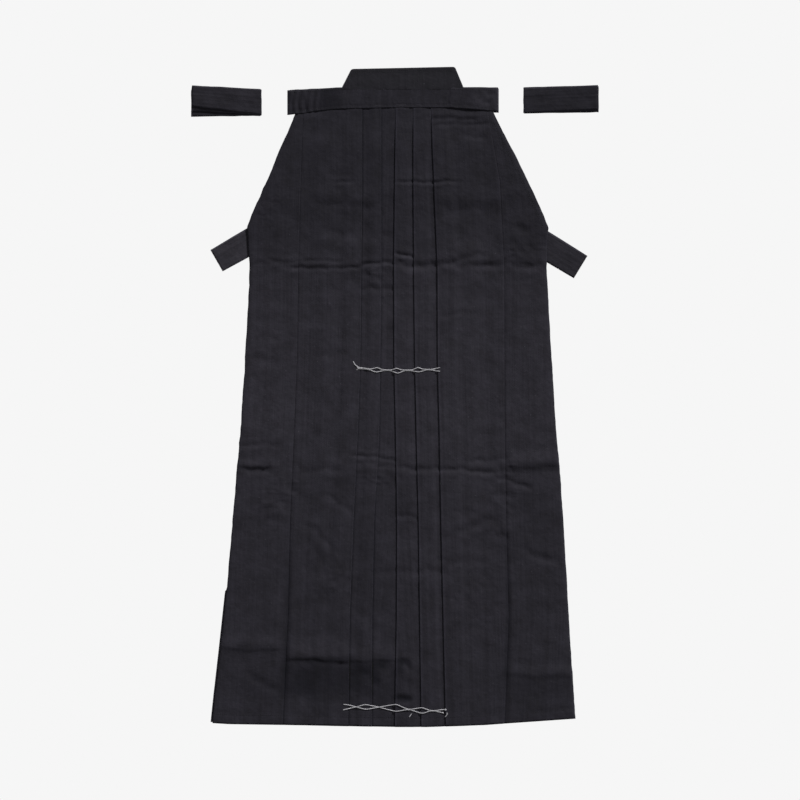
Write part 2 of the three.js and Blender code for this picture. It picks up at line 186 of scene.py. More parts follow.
# From (x, y) to (x, y), how high or deep, how wide across, and the sag midway.
FRONT_CREASES = table("from to height width sag", [
    # across the waist
    ((58, 445), (134, 445), -1.2, 3.2, 0),
    ((64, 436), (152, 437), -1.2, 3.4, 0),
    ((105, 418), (148, 415), -0.9, 4, 0),
    ((2, 344), (108, 345), -1.5, 2.6, -1),
    ((-100, 344), (-64, 344), -1.0, 3, 0),
    ((-140, 308), (-24, 302), -1.1, 8, 4),
    ((-105, 356), (-60, 350), -0.9, 6, 0),
    ((60, 301), (186, 305), -1.2, 9, -3),
    ((-116, 262), (0, 260), -1.3, 8, 0),
    ((190, 275), (225, 262), -1.0, 6, 0),
    # the fold across the whole width
    ((-232, 214), (-150, 207), -0.9, 4, 2),
    ((-166, 205), (-108, 208), -1.1, 3.2, 0),
    ((-116, 204), (-48, 208), -1.1, 2.8, 1),
    ((-150, 219), (-84, 216), -0.9, 2.8, 0),
    ((-208, 222), (-150, 214), -0.9, 3, -2),
    ((-56, 213), (0, 215), -1.8, 3.2, 0),
    ((-2, 211), (64, 209), -1.9, 5.5, 0),
    ((60, 208), (98, 218), -1.9, 5, 0),
    ((88, 216), (144, 229), -1.6, 4.5, 0),
    ((90, 208), (160, 211), -1.0, 4, 0),
    ((146, 211), (241, 208), -1.7, 6, 3),
    ((0, 231), (32, 224), -1.7, 2.6, 0),
    ((-60, 172), (0, 174), -1.0, 4, 0),
    ((70, 128), (140, 135), -1.0, 4, 2),
    ((-124, 64), (-76, 71), -0.9, 5, 0),
    ((-232, 67), (-184, 49), -0.9, 6, 0),
    ((-205, 100), (-185, 86), -0.8, 4, 0),
    ((-200, 160), (-160, 140), -0.6, 6, 0),
    # the lower fold
    ((-251, -77), (-180, -77), -1.0, 4, 0),
    ((-253, -115), (-200, -117), -1.9, 4.2, 0),
    ((-150, -122), (-80, -118), -1.0, 5, 3),
    ((-68, -93), (4, -101), -1.5, 3.2, 0),
    ((-60, -106), (6, -110), -0.9, 5, 0),
    ((4, -114), (76, -116), -1.5, 4.5, 0),
    ((70, -116), (164, -123), -1.7, 3.8, 2),
    ((120, -100), (170, -104), -0.8, 4, 0),
    ((160, -128), (220, -146), -1.4, 4, 0),
    ((3, -190), (37, -193), -1.8, 3, 0),
    ((-116, -154), (-66, -184), -1.1, 4.5, 0),
    ((-148, -203), (-98, -244), -1.3, 5, 4),
    ((-130, -240), (-108, -290), -0.9, 5, 0),
    ((78, -229), (176, -194), -1.5, 6, 5),
    ((90, -183), (140, -186), -0.8, 4, 0),
    ((199, -243), (266, -268), -1.5, 6, 0),
    ((60, -262), (150, -266), -0.7, 6, 0),
    ((-44, -282), (148, -283), -0.9, 5, 3),
    ((40, -318), (120, -330), -0.7, 7, 4),
    ((-60, -345), (-20, -380), -0.8, 6, 0),
    # above the hem
    ((-173, -421), (-80, -424), -0.5, 4.2, 0),
    ((-60, -436), (-22, -462), -1.4, 7, 0),
    ((4, -421), (30, -438), -1.9, 5, 0),
    ((1, -480), (29, -486), -1.9, 5, 0),
    ((-240, -440), (-184, -477), -1.5, 6, 0),
    ((-90, -500), (40, -506), -0.6, 5, 2),
    ((60, -380), (150, -372), -0.6, 7, 4),
])
# Low waves that climb gently to a line and fall steeply below it, then gently.
LIPS = table("from to height above below steep", [
    ((-174, -417), (-76, -420), 3.6, 40, 60, 6),
    ((-88, -419), (4, -420), 2.4, 30, 40, 5.5),
    ((-278, -400), (-180, -403), 2.6, 26, 26, 6),
    ((174, -441), (294, -446), 2.2, 18, 36, 9),
    ((182, -107), (266, -105), 2.9, 26, 16, 9),
    ((-256, -110), (-200, -111), 1.6, 14, 14, 5),
    ((56, 222), (244, 214), 1.5, 34, 12, 7),
    ((-130, 316), (-30, 312), 0.9, 26, 24, 9),
    ((66, 316), (176, 316), 1.1, 30, 30, 12),
    ((-240, 214), (-50, 212), 0.7, 24, 8, 6),
    ((40, 452), (150, 450), 0.9, 8, 20, 6),
])
# Places where the cloth is crushed.
CRUMPLES = table("x y reach height grain", [
    (-194, -176, 22, 2.5, 9),
    (-168, -150, 24, 1.7, 12),
    (174, -108, 16, 1.9, 9),
    (176, -168, 24, 1.9, 10),
    (172, -212, 15, 2.6, 9),
    (-203, -110, 12, 2.2, 8),
    (-30, 196, 18, 1.8, 8),
    (14, 222, 12, 0.9, 7),
    (-24, -130, 30, 1.1, 12),
    (-205, 300, 18, 1.5, 9),
    (205, 235, 36, 1.4, 12),
    (-95, -300, 36, 1.3, 12),
    (130, -330, 44, 1.2, 12),
])
# Painted shade and light by height: the front is painted darker at the waist and the hem, and a
# little lighter in the middle of the legs.
PAINTED_SHADE_BY_HEIGHT = table("y tone", [
    (530, -1.5),
    (350, -1.3),
    (232, -1.15),
    (204, -0.1),
    (60, 0.1),
    (-90, 0),
    (-135, -0.5),
    (-400, -0.8),
    (-440, -1.15),
    (-528, -1.0),
])
# Patches of painted shade (negative tone) and painted light (positive tone) on the front.
PAINTED_SHADE_PATCHES = table("x y half_x half_y tone", [
    (-86, -452, 96, 33, -1.35),
    (-112, -421, 48, 7, -1.2),
    (-150, -456, 24, 26, -0.6),
    (-56, -434, 17, 13, -0.9),
    (-24, -427, 14, 8, -1.4),
    (-30, -452, 8, 9, -0.8),
    (-16, -447, 9, 10, 0.9),
    (-135, -403, 34, 12, 0.7),
    (16, -424, 12, 7, -1.5),
    (9, -434, 6, 12, -0.9),
    (13, -483, 13, 6.5, -2.2),
    (232, -486, 58, 36, -0.5),
    (-222, -403, 42, 9, -0.9),
    (-215, -465, 36, 22, -0.4),
    (228, -111, 40, 9, -1.1),
    (-228, -115, 26, 7, -0.8),
    (222, -200, 46, 70, -0.35),
    (16, -165, 17, 26, -0.7),
    (-40, -250, 22, 70, -0.4),
    (-50, 190, 30, 16, -0.4),
    (206, 246, 40, 36, -0.6),
    (130, 330, 60, 34, -0.4),
    (-70, 250, 50, 24, 0.5),
    (120, 250, 36, 16, 0.5),
    (-190, -20, 60, 36, 0.5),
])


def along_line(x, y, row):
    """Distance along a row's line as a share of its length, distance off to its upper side, and
    the length."""
    (x0, y0), (x1, y1) = row["from"], row["to"]
    length = math.hypot(x1 - x0, y1 - y0)
    along_x, along_y = (x1 - x0) / length, (y1 - y0) / length
    along = ((x - x0) * along_x + (y - y0) * along_y) / length
    off = (y - y0) * along_x - (x - x0) * along_y
    return along, off, length


def crease_height(x, y, rows):
    """Height that the listed creases add at (x, y): a soft trough or ridge along each line."""
    total = np.zeros(np.broadcast(x, y).shape)
    for row in rows:
        along, off, length = along_line(x, y, row)
        first, width = row["from"][0], row["width"]
        off = off - row["sag"] * np.sin(np.pi * np.clip(along, 0, 1))
        off = off + 0.3 * width * np.sin(along * length / 9 + first)
        off = off + 0.25 * width * np.sin(along * length / 4.1 + 2 * first)
        fade = smooth(along, -0.05, 0.12) * (1 - smooth(along, 0.86, 1.05))
        height = row["height"] * (0.85 + 0.15 * np.sin(along * length / 11 + first)) * fade
        total += height * bell(off, width)
        total -= 0.3 * height * bell(np.abs(off) - 2.1 * width, 1.2 * width)
    return total


def lip_height(x, y):
    """Height that the low waves add at (x, y)."""
    total = np.zeros(np.broadcast(x, y).shape)
    for row in LIPS:
        along, off, length = along_line(x, y, row)
        first = row["from"][0]
        off = off + 1.6 * np.sin(along * length / 14 + first)
        off = off + 0.8 * np.sin(along * length / 5 + first)
        fade = smooth(along, -0.04, 0.08) * (1 - smooth(along, 0.9, 1.04))
        climb = 1 - smooth(off, 0, row["above"])
        drop = 0.55 * smooth(off, -row["steep"], 0)
        drop = drop + 0.45 * smooth(off, -row["below"], -0.4 * row["steep"])
        total += row["height"] * fade * np.where(off > 0, climb, drop)
    return total


def crumple_height(x, y):
    """Small sharp facets, as in cloth that has been crushed and smoothed out again."""
    total = np.zeros(np.broadcast(x, y).shape)
    for i, spot in enumerate(CRUMPLES):
        away = ((x - spot["x"]) ** 2 + (y - spot["y"]) ** 2) / spot["reach"] ** 2
        grain = spot["grain"]
        facets = 0.5 - np.abs(rumple(x, y, grain, 0.8 * grain, 40 + i))
        lumps = rumple(x + y, y - x, 1.6 * grain, 1.3 * grain, 60 + i)
        total += spot["height"] * (1.3 * facets + 0.7 * lumps) * np.exp(-away)
    return total


def front_relief(x, y):
    """Everything that lifts or sinks the front beside its layers: creases, crumples and the soft
    unevenness of cloth that has been folded for a shelf."""
    height = crease_height(x, y, FRONT_CREASES) + lip_height(x, y) + crumple_height(x, y)
    height = height + 0.6 * rumple(x, y, 48, 30, 3) + 0.3 * rumple(x, y, 17, 13, 4)
    return np.maximum(height, DEEPEST)


def painted_shade(x, y, seam):
    """How dark the front is painted: painted shade and light by height and in patches, and painted
    shade in the groove of the side seam.
    """
    total = column(PAINTED_SHADE_BY_HEIGHT, "y", y, "tone")
    for spot in PAINTED_SHADE_PATCHES:
        u = (x - spot["x"]) / spot["half_x"] + 0.14 * rumple(x, y, 14, 10, 80)
        v = (y - spot["y"]) / spot["half_y"] + 0.22 * rumple(x, y, 17, 9, 81)
        total = total + spot["tone"] * bell(u, 1, 4) * bell(v, 1, 4)
    # Painted shade along the side seam's groove, strongest low on the legs and gone towards the
    # waist.
    strength = 0.5 + 1.5 * (1 - smooth(y, -330, -170)) * smooth(y, -500, -420)
    return total - strength * (1 - smooth(y, 120, 220)) * bell(x - seam[:, None], 4.2)


# ---------------------------------------------------------------- meshes

def in_scene(name, data):
    """An object for a mesh, a light or a camera."""
    made = bpy.data.objects.new(name, data)
    bpy.context.scene.collection.objects.link(made)
    return made


def mesh_object(name, vertices, faces):
    mesh = bpy.data.meshes.new(name)
    mesh.from_pydata([tuple(v) for v in vertices], [], faces)
    mesh.update()
    return in_scene(name, mesh)


def smooth_shaded(made):
    made.data.polygons.foreach_set("use_smooth", [True] * len(made.data.polygons))


def run_along(points):
    """Distance of each point from the first, along the line through them."""
    return np.concatenate([[0], np.cumsum(np.linalg.norm(np.diff(points, axis=0), axis=1))])


def sheet(name, x, y, z, wear_and_highlight=0.0, wall=WALL, anchor=0, tone=0.0):
    """A sheet of cloth from arrays of the middle of its wall, one row of points for each section.
    Its UV map holds the cloth's own measure in metres, across from the anchor column, so that the
    weave follows the threads."""
    rows, count = x.shape
    points = np.stack([x, y, z], axis=-1)
    across = np.zeros((rows, count))
    across[:, 1:] = np.cumsum(np.linalg.norm(np.diff(points, axis=1), axis=2), axis=1)
    across -= across[:, anchor:anchor + 1]
    down = run_along(points[:, count // 2])
    index = np.arange(rows * count).reshape(rows, count)
    quads = np.stack([index[:-1, :-1], index[:-1, 1:], index[1:, 1:], index[1:, :-1]], axis=-1)
    made = mesh_object(name, points.reshape(-1, 3) * MM, quads.reshape(-1, 4).tolist())
    uv = made.data.uv_layers.new(name="cloth")
    corner = np.zeros(len(made.data.loops), dtype=np.int32)
    made.data.loops.foreach_get("vertex_index", corner)
    flat = np.stack([across, np.broadcast_to(down[:, None], (rows, count))], axis=-1)
    uv.data.foreach_set("uv", (flat.reshape(-1, 2)[corner] * MM).ravel())
    for key, values in (("wear_and_highlight", wear_and_highlight), ("tone", tone)):
        attribute = made.data.attributes.new(key, "FLOAT", "POINT")
        attribute.data.foreach_set("value", np.broadcast_to(values, x.shape).ravel())
    smooth_shaded(made)
    solid = made.modifiers.new("wall", "SOLIDIFY")
    solid.thickness = wall * MM
    solid.offset = 0
    return made


def refine(stops, spacing, samples):
    """Points along a section. stops is a list of (across, layer) arrays with one value for each
    row, and every row gets the same number of points between two stops."""
    across = np.stack([np.broadcast_to(a, samples) for a, _ in stops], axis=1).astype(float)
    layer = np.stack([np.broadcast_to(b, samples) for _, b in stops], axis=1).astype(float)
    columns_a, columns_b = [], []
    for i in range(len(stops) - 1):
        length = np.abs(across[:, i + 1] - across[:, i]).mean()
        parts = max(1, int(round(length / spacing)))
        for share in np.arange(parts) / parts:
            columns_a.append(across[:, i] * (1 - share) + across[:, i + 1] * share)
            columns_b.append(layer[:, i] * (1 - share) + layer[:, i + 1] * share)
    columns_a.append(across[:, -1])
    columns_b.append(layer[:, -1])
    return np.stack(columns_a, axis=1), np.stack(columns_b, axis=1)


# How a pleat's top layer comes down: shares of the slope's length, and the layer there.
FALL = [(0.1, 1.95), (0.3, 1.6), (0.5, 1.0), (0.7, 0.45), (0.9, 0.12), (1.1, 0)]
TURN_ANGLES = [math.radians(a) for a in (0, 30, 60, 90, 120, 150, 180)]
PLEAT_DEPTH = 0.66  # as a share of the strip that shows
SLOPE = 8
LEFT_OUTER_SLOPE = 15
RIGHT_OUTER_SLOPE = 13
RIGHT_INNER_SLOPE = 10.5
RIGHT_INNER_DEPTH = 0.7  # as a share of the outer pleat's
RIGHT_PRESS = 0.68  # the right leg's layers are pressed flatter


def turn(line, side, low, high):
    """A pressed fold as stops, round from layer low to layer high. The fold's edge is on line and
    the cloth lies on the side given."""
    middle, half = (low + high) / 2, (high - low) / 2
    return [(line + side * TURN * (1 - math.sin(angle)), middle - half * math.cos(angle))
            for angle in TURN_ANGLES]


def pleat(line, depth, side, slope=SLOPE):
    """One pleat as stops, from the strip that runs under the fold to the strip on top, which then
    comes down over the length of the slope."""
    stops = turn(line + side * depth, -side, 0, 1) + turn(line, side, 1, 2)
    return stops + [(line + side * (depth + share * slope), layer) for share, layer in FALL]


def squeeze(y):
    """How far the layers are pressed together, as a share of their height."""
    return 1 - SQUEEZE * smooth(y, 395, 455)


def front_base(x, y):
    """Height of the front's lowest layer over the backs, the gusset and the crossed ties."""
    away = np.clip((np.abs(x) - CENTRE_HALF) / (SIDE_HALF - CENTRE_HALF), 0, 1)
    away = away * (1 - 0.85 * smooth(y, 395, 450))
    return column(RISES, "y", y, "rise") + STEP * (3 - 2 * away) + LIFT


def follow_edges(x, rows, waist):
    """Heights up the cloth. Rows near the waist and the hem bend along those edges."""
    y = np.broadcast_to(rows[:, None], x.shape)
    near_waist = smooth(y, WAIST_Y - BEND, WAIST_Y)
    near_hem = 1 - smooth(y, HEM_Y, HEM_Y + BEND)
    hem = column(HEM_LINE, "x", x, "y")
    return y + near_waist * (waist - WAIST_Y) + near_hem * (hem - HEM_Y)


RUB_AND_HIGHLIGHT_WIDTH = 2.2
CREST = 0.5  # a pressed fold's cloth rises a little, this far behind its edge
CREST_BEHIND = 9
CREST_WIDTH = 7
EDGE_PAINTED_SHADOW = 2.2  # where an edge gets no paler line, painted shadow darkens the lower layer beside it
EDGE_PAINTED_SHADOW_WIDTH = 1.5
SEAM_GROOVE = 1.3
SEAM_WIDTH = 2.6
RIM_DROP = 0.9  # the outer edge turns down over the last few millimetres
RIM_WIDTH = 6
STITCHES_SINK = 0.5
STITCHES_WIDTH = 1.8
HEM_RISE = 0.3  # the hem is two layers thick


def front_sheet(name, stops, rows, spacing, seam, fold_edges=(), rim=None, press=1.0):
    """A panel of the front. seam is the line of its side seam, fold_edges are the lines of its
    pleats' edges with the side on which the cloth lies and how much the edge is painted paler,
    partly as rubbed wear and partly as painted highlight, and rim is its outer edge. press flattens
    its layers."""
    x, layer = refine(stops, spacing, len(rows))
    tucked = column(BAND_EDGES, "x", x, "lower") + TUCK
    y = follow_edges(x, rows, tucked)
    if rim is not None:
        side = "right" if rim[0] < 0 else "left"
        edge_share = (x - seam[:, None]) / (rim - seam)[:, None]
        shown = side_rim(side, y[:, -1:])
        x = x + np.clip(edge_share, 0, 1) * (shown - rim[:, None] + ripple(y[:, -1:], rim[0]))
        rim = shown[:, 0]
    # It is pressed down under the band, and most under the band's ends. The lower layers of the
    # pleats lie higher near the waist, where they are bunched.
    under_band = smooth(y - tucked, -TUCK - 2, -TUCK + 1)
    press = press + (1 - press) * smooth(y, 415, 455)
    z = (front_base(x, y) + layer * STEP * press) * squeeze(y) + WALL / 2
    z = z + front_relief(x, y) * (1 - 0.6 * under_band) - 0.6 * under_band
    pressed = np.where(x > 0, 0.9 * smooth(x, 126, 152), 1.5 * smooth(-x, 104, 132))
    z = z - pressed * smooth(y - tucked, -TUCK - 10, -TUCK + 1)
    lifted = smooth(y, 425, 455) * (1 - smooth(layer, 0, 1.2)) * (1 - smooth(np.abs(x), 90, 120))
    z = z + 0.9 * lifted
    wear_and_highlight = np.zeros(x.shape)
    # The front's tone attribute carries its painted shade and light.
    tone = painted_shade(x, y, seam)
    # Pleat edges are painted paler, partly as rubbed wear and partly as painted highlight where the
    # light catches the fold.
    for edge, side, rub_and_highlight in fold_edges:
        beside = (x - edge[:, None]) * side
        on_top = smooth(layer, 1.2, 1.8) * press
        wear_and_highlight = np.maximum(wear_and_highlight, rub_and_highlight * on_top * bell(beside, RUB_AND_HIGHLIGHT_WIDTH))
        z = z + on_top * CREST * bell(beside - CREST_BEHIND, CREST_WIDTH)
        # Painted shadow on the lower layer beside an edge that gets no paler line.
        if not rub_and_highlight:
            tone = tone - EDGE_PAINTED_SHADOW * bell(beside + WALL + 0.5, EDGE_PAINTED_SHADOW_WIDTH)
    strength = (0.35 + 0.65 * (1 - smooth(y, -230, 40))) * (1 - smooth(y, 190, 240))
    z = z - SEAM_GROOVE * strength * bell(x - seam[:, None], SEAM_WIDTH)
    if rim is not None:
        z = z - RIM_DROP * (1 - smooth(np.abs(x - rim[:, None]), 0, RIM_WIDTH))
    above_hem = y - column(HEM_LINE, "x", x, "y")
    z = z - STITCHES_SINK * bell(above_hem - HEM_DEPTH, STITCHES_WIDTH)
    z = z + HEM_RISE * (1 - smooth(above_hem, HEM_DEPTH - 3, HEM_DEPTH + 2))
    anchor = 0 if not fold_edges else int(np.argmin(np.abs(x[0] - fold_edges[-1][0][0]) - layer[0]))
    return sheet(name, x, y, z, wear_and_highlight, anchor=anchor, tone=tone)


def ripple(y, seed):
    """The edge of the cloth isn't quite straight."""
    return 0.5 * rumple(y, 0 * y + seed, 17, 1, 70) + 0.35 * rumple(y, 0 * y + seed, 6, 1, 71)


FRONT_ROW_PITCH = 3.5
BACK_ROW_PITCH = 5.2
CREASED = [(455, 412), (360, 336), (322, 292), (238, 198), (-70, -152), (-392, -444), (-474, -492)]


def rows_between(high, low, spacing):
    """Heights of rows up the cloth, closer together where it is creased."""
    fine = np.arange(high, low, -0.5)
    weight = np.ones(fine.shape)
    for above, below in CREASED:
        weight += 0.9 * smooth(fine, below - 6, below) * (1 - smooth(fine, above, above + 6))
    run = np.concatenate([[0], np.cumsum(weight)]) * 0.5
    count = int(round(run[-1] / spacing)) + 1
    return np.interp(np.linspace(0, run[-1], count), run, np.append(fine, low))


def line_of(name, rows):
    """The line of a fold or a seam of the front, at the heights of the rows."""
    return column(PLEATS, "y", rows, name)


def front_left_cloth():
    """The front of the left leg. Its middle pleat laps over the right leg."""
    rows = rows_between(WAIST_Y, HEM_Y, FRONT_ROW_PITCH)
    centre, inner, outer = (line_of(k, rows) for k in ("centre", "inner_l", "outer_l"))
    depth = PLEAT_DEPTH * (inner - centre)
    outer_depth = PLEAT_DEPTH * (outer - inner)
    seam = line_of("seam_l", rows)
    stops = [(centre + depth - 1, 1)] + turn(centre, 1, 1, 2)
    stops += [(centre + depth + 1, 1.9), (centre + depth + 4, 0.9), (inner - 1.5, 0)]
    stops += pleat(inner, depth, 1) + [(outer - 1.5, 0)]
    stops += pleat(outer, outer_depth, 1, LEFT_OUTER_SLOPE)
    stops += [(CENTRE_HALF + 7, 0), (SIDE_HALF, 0)]
    stops += [(seam - 2, 0), (seam + 0.6, -0.45)]
    # The left leg's pleat edges are painted lit, partly as rubbed wear and partly as painted
    # highlight.
    edges = [(centre, 1, 0.5), (inner, 1, 0.45), (outer, 1, 0.35)]
    return front_sheet("front_left_cloth", stops, rows, 2.9, seam, edges)


def front_right_cloth():
    """The front of the right leg, with the strip that runs under the middle pleat."""
    rows = rows_between(WAIST_Y, HEM_Y, FRONT_ROW_PITCH)
    centre, inner, outer = (line_of(k, rows) for k in ("centre", "inner_r", "outer_r"))
    depth = PLEAT_DEPTH * (inner - outer)
    tail = PLEAT_DEPTH * (line_of("inner_l", rows) - centre)
    seam = line_of("seam_r", rows)
    stops = [(seam - 0.6, -0.45), (seam + 2, 0), (-SIDE_HALF, 0), (-CENTRE_HALF, 0)]
    stops += pleat(outer, depth, -1, RIGHT_OUTER_SLOPE)[::-1] + [(outer + 1.5, 0)]
    stops += pleat(inner, RIGHT_INNER_DEPTH * depth, -1, RIGHT_INNER_SLOPE)[::-1]
    stops += [(centre + tail - 1, 0)]
    # The right leg's pleat edges get no paler line; painted shadow lies beside them instead.
    edges = [(inner, -1, 0), (outer, -1, 0)]
    return front_sheet("front_right_cloth", stops, rows, 2.9, seam, edges, press=RIGHT_PRESS)


def outer_edge(side, y):
    """The outer edge, rounded a little beyond that of the solids."""
    return column(OUTLINE, "y", y, side) + (-EDGE_OUT if side == "right" else EDGE_OUT)


def side_rim(side, y):
    """The outer edge of a side width. The right one is inside that of the back near the hem."""
    return outer_edge(side, y) + (BACK_SHOWS * (y < BACK_SHOWS_BELOW) if side == "right" else 0)


def side_cloth(side):
    """A side width. Its inner edge runs under the front, as the allowance of the seam."""
    rows = rows_between(WAIST_Y, HEM_Y, FRONT_ROW_PITCH)
    outwards = -1 if side == "right" else 1
    seam = line_of("seam_r" if side == "right" else "seam_l", rows)
    rim = side_rim(side, rows)
    stops = [
        (seam - outwards * 5, -0.75),
        (seam - outwards * 0.9, -0.7),
        (seam + outwards * 0.1, -0.05),
        (rim, 0),
    ]
    return front_sheet(f"side_{side}_cloth", stops, rows, 2.7, seam, rim=rim)


def back_rim(side, rows):
    """The outer edge of a back, which is covered all the way except by the right hem."""
    outwards = -1 if side == "right" else 1
    shown = outer_edge(side, rows)
    covered = (rows > BACK_SHOWS_BELOW) | (side == "left")
    below = shown - outwards * BACK_INSET * covered
    at_slit = column(OUTLINE, "y", SLIT_Y, side) - outwards * BACK_INSET
    above = np.interp(rows, [SLIT_Y, 465], [at_slit, BACK_TOP_EDGE[side]])
    return np.where(rows > SLIT_Y, above, below)


GUSSET_WIDTH = 52
GUSSET_LENGTH = 110
GUSSET_MIDDLE = -60


def gusset_cloth():
    """The kite at the crotch, between the front and the back."""
    down = np.linspace(1, -1, 25)[:, None]
    share = np.linspace(-1, 1, 11)
    x = share * GUSSET_WIDTH / 2 * (1 - np.abs(down) * 0.98)
    y = GUSSET_MIDDLE + down * GUSSET_LENGTH / 2 + 0 * share
    low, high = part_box("gusset")
    z = (low[2] + high[2]) / 2 / MM + 0.15 * rumple(x, y, 15, 12, 9)
    return sheet("gusset_cloth", x, y, z, anchor=5)


BACK_CREASES = table("from to height width sag", [
    ((-230, 206), (60, 209), 0.7, 5, 2),
    ((90, 212), (238, 205), 0.8, 5, 2),
    ((-190, 330), (-60, 322), 0.5, 6, 2),
    ((40, 318), (190, 330), 0.6, 6, 2),
    ((-250, -112), (-40, -118), 0.8, 5, 3),
    ((-20, -116), (255, -110), 0.8, 6, -2),
    ((-268, -400), (-90, -410), 0.9, 6, 3),
    ((-60, -412), (270, -396), 0.8, 7, -3),
    ((110, -200), (200, -250), 0.6, 6, 0),
    ((-210, -190), (-120, -250), 0.6, 5, 0),
])


def back_cloth(side):
    """The back of a leg, with one pressed pleat beside the middle seam."""
    rows = rows_between(BACK_TOP, HEM_Y, BACK_ROW_PITCH)
    outwards = -1 if side == "right" else 1
    middle = column(BACK_PLEATS, "y", rows, "middle")
    fold = middle + outwards * column(BACK_PLEATS, "y", rows, "fold")
    stops = [(back_rim(side, rows), 0)]
    stops += turn(fold, outwards, 0, 1)
    stops += turn(fold + outwards * BACK_PLEAT_DEPTH, -outwards, 1, 2)
    stops += [(fold - outwards * 2, 2), (fold - outwards * 12, 0), (middle + outwards * 0.15, 0)]
    x, layer = refine(stops, 4.2, len(rows))
    near_hem = 1 - smooth(rows, HEM_Y, HEM_Y + BEND)
    hem = column(HEM_LINE, "x", x, "y") + BACK_HEM_RISE
    y = rows[:, None] + near_hem[:, None] * (hem - HEM_Y)
    relief = crease_height(x, y, BACK_CREASES) + 0.12 * rumple(x, y, 40, 30, 8) + 0.1
    relief = np.clip(relief, 0, 0.8)
    z = (column(RISES, "y", y, "rise") + layer * STEP) * squeeze(y) + WALL / 2 + 0.05 + relief
    z = z + 0.3 * bell(y - hem - HEM_DEPTH, 2.6)
    wear_and_highlight = bell(x - fold[:, None], 1.6) * (layer < 0.8)
    return sheet(f"back_{side}_cloth", x, y, z, wear_and_highlight)


# ---------------------------------------------------------------- straps

TIE_WALL = 0.9

# From the board's corner to the free end, and the width of that end as it is sewn. rests gives the
# height of the underside at a few distances from the board, and widths the width.
BACK_TIES = {
    "right": {
        "start": (-110, 456), "end": (297.3, 208.1), "width": 42,
        "rests": [(0, STEP), (195, STEP), (245, 0), (480, 0)],
        "widths": [(0, 41), (400, 44), (430, 43.5), (476, 42)], "seed": 51, "tone": -0.9},
    "left": {
        "start": (128, 455), "end": (-285.8, 218.3), "width": 39,
        "rests": [(0, STEP), (50, 0), (480, 0)],
        "widths": [(0, 41), (400, 42), (430, 41.5), (476, 39.5)], "seed": 52, "tone": 0.7},
}


def edge_wear(x):
    """Both edges of a strap are rubbed."""
    return 0.5 * np.broadcast_to(np.abs(STRAP_POINTS) ** 14, x.shape)


def back_tie_cloth(side):
    """A tie of the back, flat from the board's corner to its free end."""
    tie = BACK_TIES[side]
    start, end = np.array(tie["start"], float), np.array(tie["end"], float)
    length = np.linalg.norm(end - start)
    distance = np.linspace(0, length, int(length / 3) + 1)
    height = np.interp(distance, *zip(*tie["rests"]))
    half = np.interp(distance, *zip(*tie["widths"]))[:, None] / 2
    middle = start + (end - start) * (distance / length)[:, None]
    ahead = (end - start) / length
    x = middle[:, :1] - ahead[1] * STRAP_POINTS * half
    y = middle[:, 1:] + ahead[0] * STRAP_POINTS * half
    free = smooth(distance, length - 75, length - 60)[:, None]
    soft = 0.5 + 0.5 * rumple(x, y, 19, 15, tie["seed"])
    z = height[:, None] + TIE_WALL / 2 + 0.3 + soft * (0.15 + 0.9 * free)
    z = z - 0.25 * np.abs(STRAP_POINTS) ** 6
    name = f"back_tie_{side}_cloth"
    return sheet(name, x, y, z, edge_wear(x), TIE_WALL, anchor=7, tone=tie["tone"])


BUNDLE_WALL = 1.2
BUNDLE_STEP = 1.9


# Each row of layers has the height up the cloth of the strap's middle and its width, at the inner
# and then at the outer end of the bundle.
FRONT_TIES = {
    "right": {
        "inner": -213.6, "outer": -326.4, "seed": 61, "tone": -1.35, "layers": [
            (471, 41, 469.5, 41), (471.5, 41, 470, 41), (471, 41, 470, 41),
            (471.5, 41, 478.4, 40), (472.6, 41, 482, 33)]},
    "left": {
        "inner": 205.4, "outer": 326, "seed": 62, "tone": -2.1, "layers": [
            (474.5, 41, 476, 40), (475, 40.5, 478, 40), (474.5, 40.5, 476.5, 41),
            (475, 41, 478, 40), (474.8, 41, 479.8, 39)]},
}


def bundle_cloth(side):
    """A front tie folded like a fan into a flat bundle."""
    tie = FRONT_TIES[side]
    inner, outer, seed = tie["inner"], tie["outer"], tie["seed"]
    towards = math.copysign(1, outer - inner)
    radius = BUNDLE_STEP / 2
    path = []
    for n, (inner_y, inner_width, outer_y, outer_width) in enumerate(tie["layers"]):
        z = n * BUNDLE_STEP + BUNDLE_WALL / 2 + 0.1
        at_inner = (inner + towards * (radius + BUNDLE_WALL / 2), inner_y, inner_width)
        at_outer = (outer - towards * (radius + BUNDLE_WALL / 2), outer_y, outer_width)
        first, last = (at_inner, at_outer) if n % 2 == 0 else (at_outer, at_inner)
        for share in np.linspace(0, 1, 40):
            x, y, width = (a + (b - a) * share for a, b in zip(first, last))
            path.append((x, y, width, z))
        if n < len(tie["layers"]) - 1:
            out = math.copysign(1, last[0] - first[0])
            for angle in TURN_ANGLES[1:-1]:
                x = last[0] + out * radius * math.sin(angle)
                path.append((x, last[1], last[2], z + radius * (1 - math.cos(angle))))
    path = np.array(path)
    height = path[:, 3:4] + 0 * STRAP_POINTS
    y = path[:, 1:2] + STRAP_POINTS * path[:, 2:3] / 2
    x = path[:, :1] + 0.5 * rumple(y, height, 9, 2, seed + 5)
    y = y + 0.5 * rumple(x, height, 21, 2, seed + 6) * np.abs(STRAP_POINTS)
    upper = smooth(height, 0.5, 6)
    z = height + upper * (0.5 * rumple(x, y, 23, 11, seed) + 0.2 * rumple(x, y, 9, 6, seed + 1))
    z = z - 0.3 * np.abs(STRAP_POINTS) ** 6
    name = f"front_tie_{side}_cloth"
    return sheet(name, x, y, z, edge_wear(x), BUNDLE_WALL, anchor=7, tone=tie["tone"])


# ---------------------------------------------------------------- band and board

BAND_WALL = 0.9
BAND_RIGHT_END = -172
BAND_LEFT_END = 164.4
